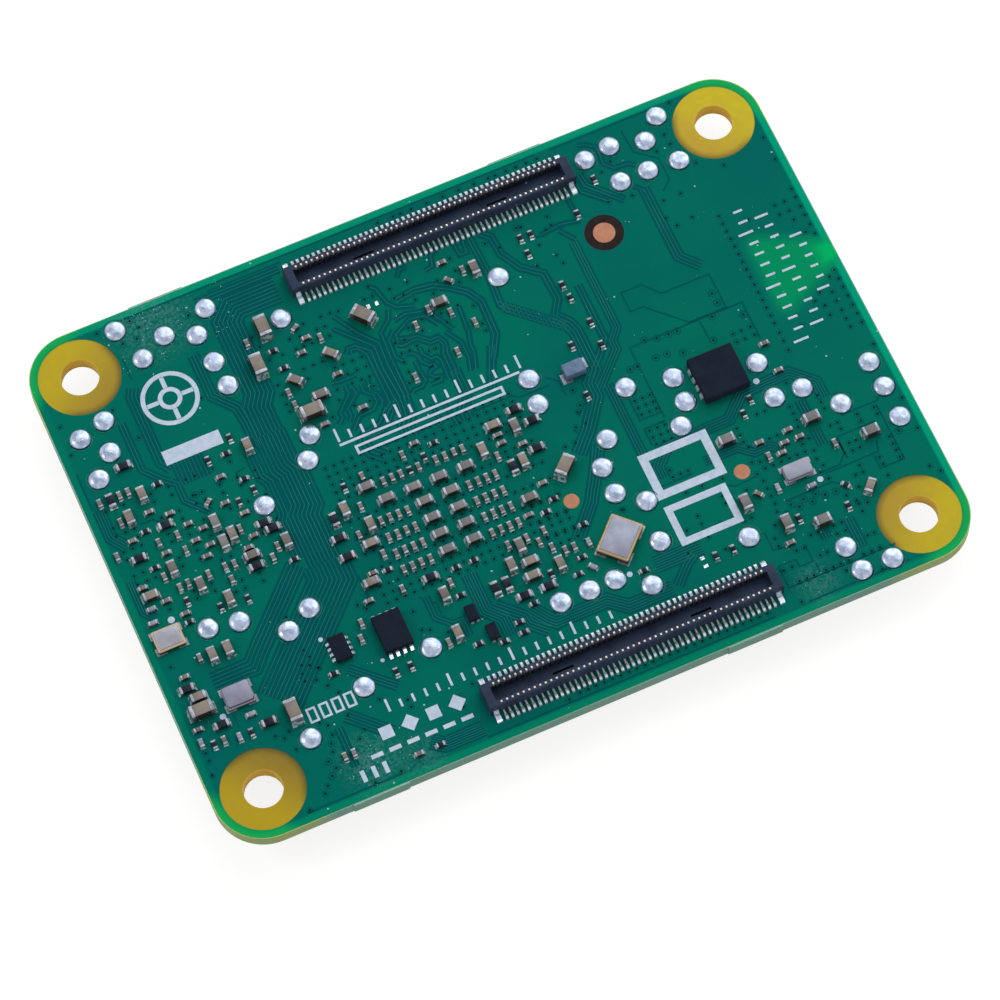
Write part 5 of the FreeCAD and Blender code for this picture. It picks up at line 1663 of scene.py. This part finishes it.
@dataclass
class Studio:
    """The camera, the floor and the lamps. The camera's place and aim are in millimetres."""

    place: tuple[float, float, float] = (-44.563, -119.139, 277.186 + BOARD.face)
    aim: tuple[float, float, float] = (-1.3715, -3.8866, BOARD.face)
    up: tuple[float, float, float] = (0.37740, 0.83276, 0.40506)
    lens: float = 161.085
    sensor: float = 36.0
    floor_size: float = 3.0
    floor_grey: float = 0.30
    floor_glow: float = 0.85
    floor_tint: tuple[float, ...] = (1.0, 0.995, 0.985, 1.0)
    screen_way: tuple[float, float, float] = (0.142, 0.380, 0.914)
    screen_reach: Span = (0.62, 0.97)
    screen_share: float = 0.42
    sky_level: float = 0.36
    lamps: tuple[Softbox, ...] = (
        Softbox("key_light", (0.62, 0.70, 0.76), 600.0, 720.0, 0.74),
        Softbox("left_light", (-0.66, 0.28, 0.70), 420.0, 130.0, 0.13),
        Softbox("front_light", (0.15, -1.00, 0.42), 420.0, 60.0, 0.05))

    def build(self) -> None:
        """Build the studio."""
        self._camera()
        self._floor()
        self._world()
        for lamp in self.lamps:
            lamp.build()
        bpy.context.scene.view_settings.view_transform = "Standard"

    def _camera(self) -> None:
        """Set the camera where the photograph was taken from."""
        data = bpy.data.cameras.new("camera")
        data.lens = self.lens
        data.sensor_width = self.sensor
        data.sensor_fit = "HORIZONTAL"
        data.clip_start = 0.01
        data.clip_end = 20.0
        camera = add_object("camera", data)
        place = Vector(self.place)
        back = (place - Vector(self.aim)).normalized()
        right = Vector(self.up).cross(back).normalized()
        turn = Matrix((right, back.cross(right), back)).transposed().to_4x4()
        camera.matrix_world = Matrix.Translation(place * MM) @ turn
        bpy.context.scene.camera = camera

    @staticmethod
    def _seen(graph: Graph) -> Socket:
        """Find what the camera, a gloss or a glass sees.

        Args:
            graph: the node tree.

        Returns:
            1 for what they see, and 0 for what only lights the part.
        """
        path = graph.add("LightPath").outputs
        either = graph.math("MAXIMUM", path["Is Camera Ray"], path["Is Glossy Ray"])
        return graph.math("MAXIMUM", either, path["Is Transmission Ray"])

    def _floor(self) -> None:
        """Lay a white floor that keeps the part's shadow."""
        mesh = bmesh.new()
        bmesh.ops.create_grid(mesh, x_segments=1, y_segments=1, size=self.floor_size)
        data = bpy.data.meshes.new("floor")
        mesh.to_mesh(data)
        mesh.free()
        material = bpy.data.materials.new("floor_white")
        material.use_nodes = True
        graph = Graph(material.node_tree)
        grey = (self.floor_grey, self.floor_grey, self.floor_grey, 1.0)
        lit = graph.times(self._seen(graph), self.floor_glow)
        inputs = material.node_tree.nodes["Principled BSDF"].inputs
        for name, value in (("Base Color", grey), ("Roughness", 0.9), ("Specular IOR Level", 0.0),
                            ("Emission Color", self.floor_tint), ("Emission Strength", lit)):
            graph.feed(value, inputs[name])
        data.materials.append(material)
        add_object("floor", data)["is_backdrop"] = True

    def _world(self) -> None:
        """Surround the part with plain white, a little darker where the mask would mirror it."""
        world = bpy.data.worlds.new("studio")
        world.use_nodes = True
        bpy.context.scene.world = world
        graph = Graph(world.node_tree)
        way = graph.add("TexCoord").outputs["Generated"]
        toward = graph.add("VectorMath", {0: way, 1: self.screen_way}, operation="DOT_PRODUCT")
        screen = graph.ramp(toward.outputs["Value"], *self.screen_reach)
        seen_level = graph.minus(1.0, graph.times(screen, self.screen_share))
        strength = graph.add("Mix", {0: self._seen(graph), 2: self.sky_level, 3: seen_level},
                             data_type="FLOAT")
        inputs = world.node_tree.nodes["Background"].inputs
        graph.feed((1.0, 1.0, 1.0, 1.0), inputs["Color"])
        graph.feed(strength.outputs[0], inputs["Strength"])


def finish_of(node: str) -> str:
    """Name the finish of a node."""
    usual = "bright_solder" if any(word in node for word in SOLDER_WORDS) else "chip_plastic"
    return NODE_FINISH.get(node, usual)


def dress_nodes(nodes: dict[str, bpy.types.Object], materials: dict[str, bpy.types.Material]) -> None:
    """Give each solid of the frame its finish.

    Args:
        nodes: the frame's objects by name.
        materials: the finishes by name.
    """
    for name, node in sorted(nodes.items()):
        finish = finish_of(name)
        node.data.materials.clear()
        node.data.materials.append(materials[finish])
        LOG.info("%s: %s", name, finish)


def corners() -> list[list[float]]:
    """Give the whole object's box as plain lists."""
    low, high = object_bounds()
    return [list(low), list(high)]


def main() -> None:
    """Load the frame, dress it and build what the solids leave out."""
    logging.basicConfig(level=logging.INFO, format="%(name)s %(message)s")
    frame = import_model()
    effects = Effects()
    materials = {name: finish.make(effects) for name, finish in FINISHES.items()}
    dress_nodes(frame["nodes"], materials)
    shop = Workshop(materials)
    for assembly in (CopperRelief(), FiducialWindow(), SolderDomes(), SoftEdges(), ConnectorRecessShades(),
                     FluxSpecks()):
        assembly.build(shop)
    Studio().build()


if __name__ == "__main__":
    main()
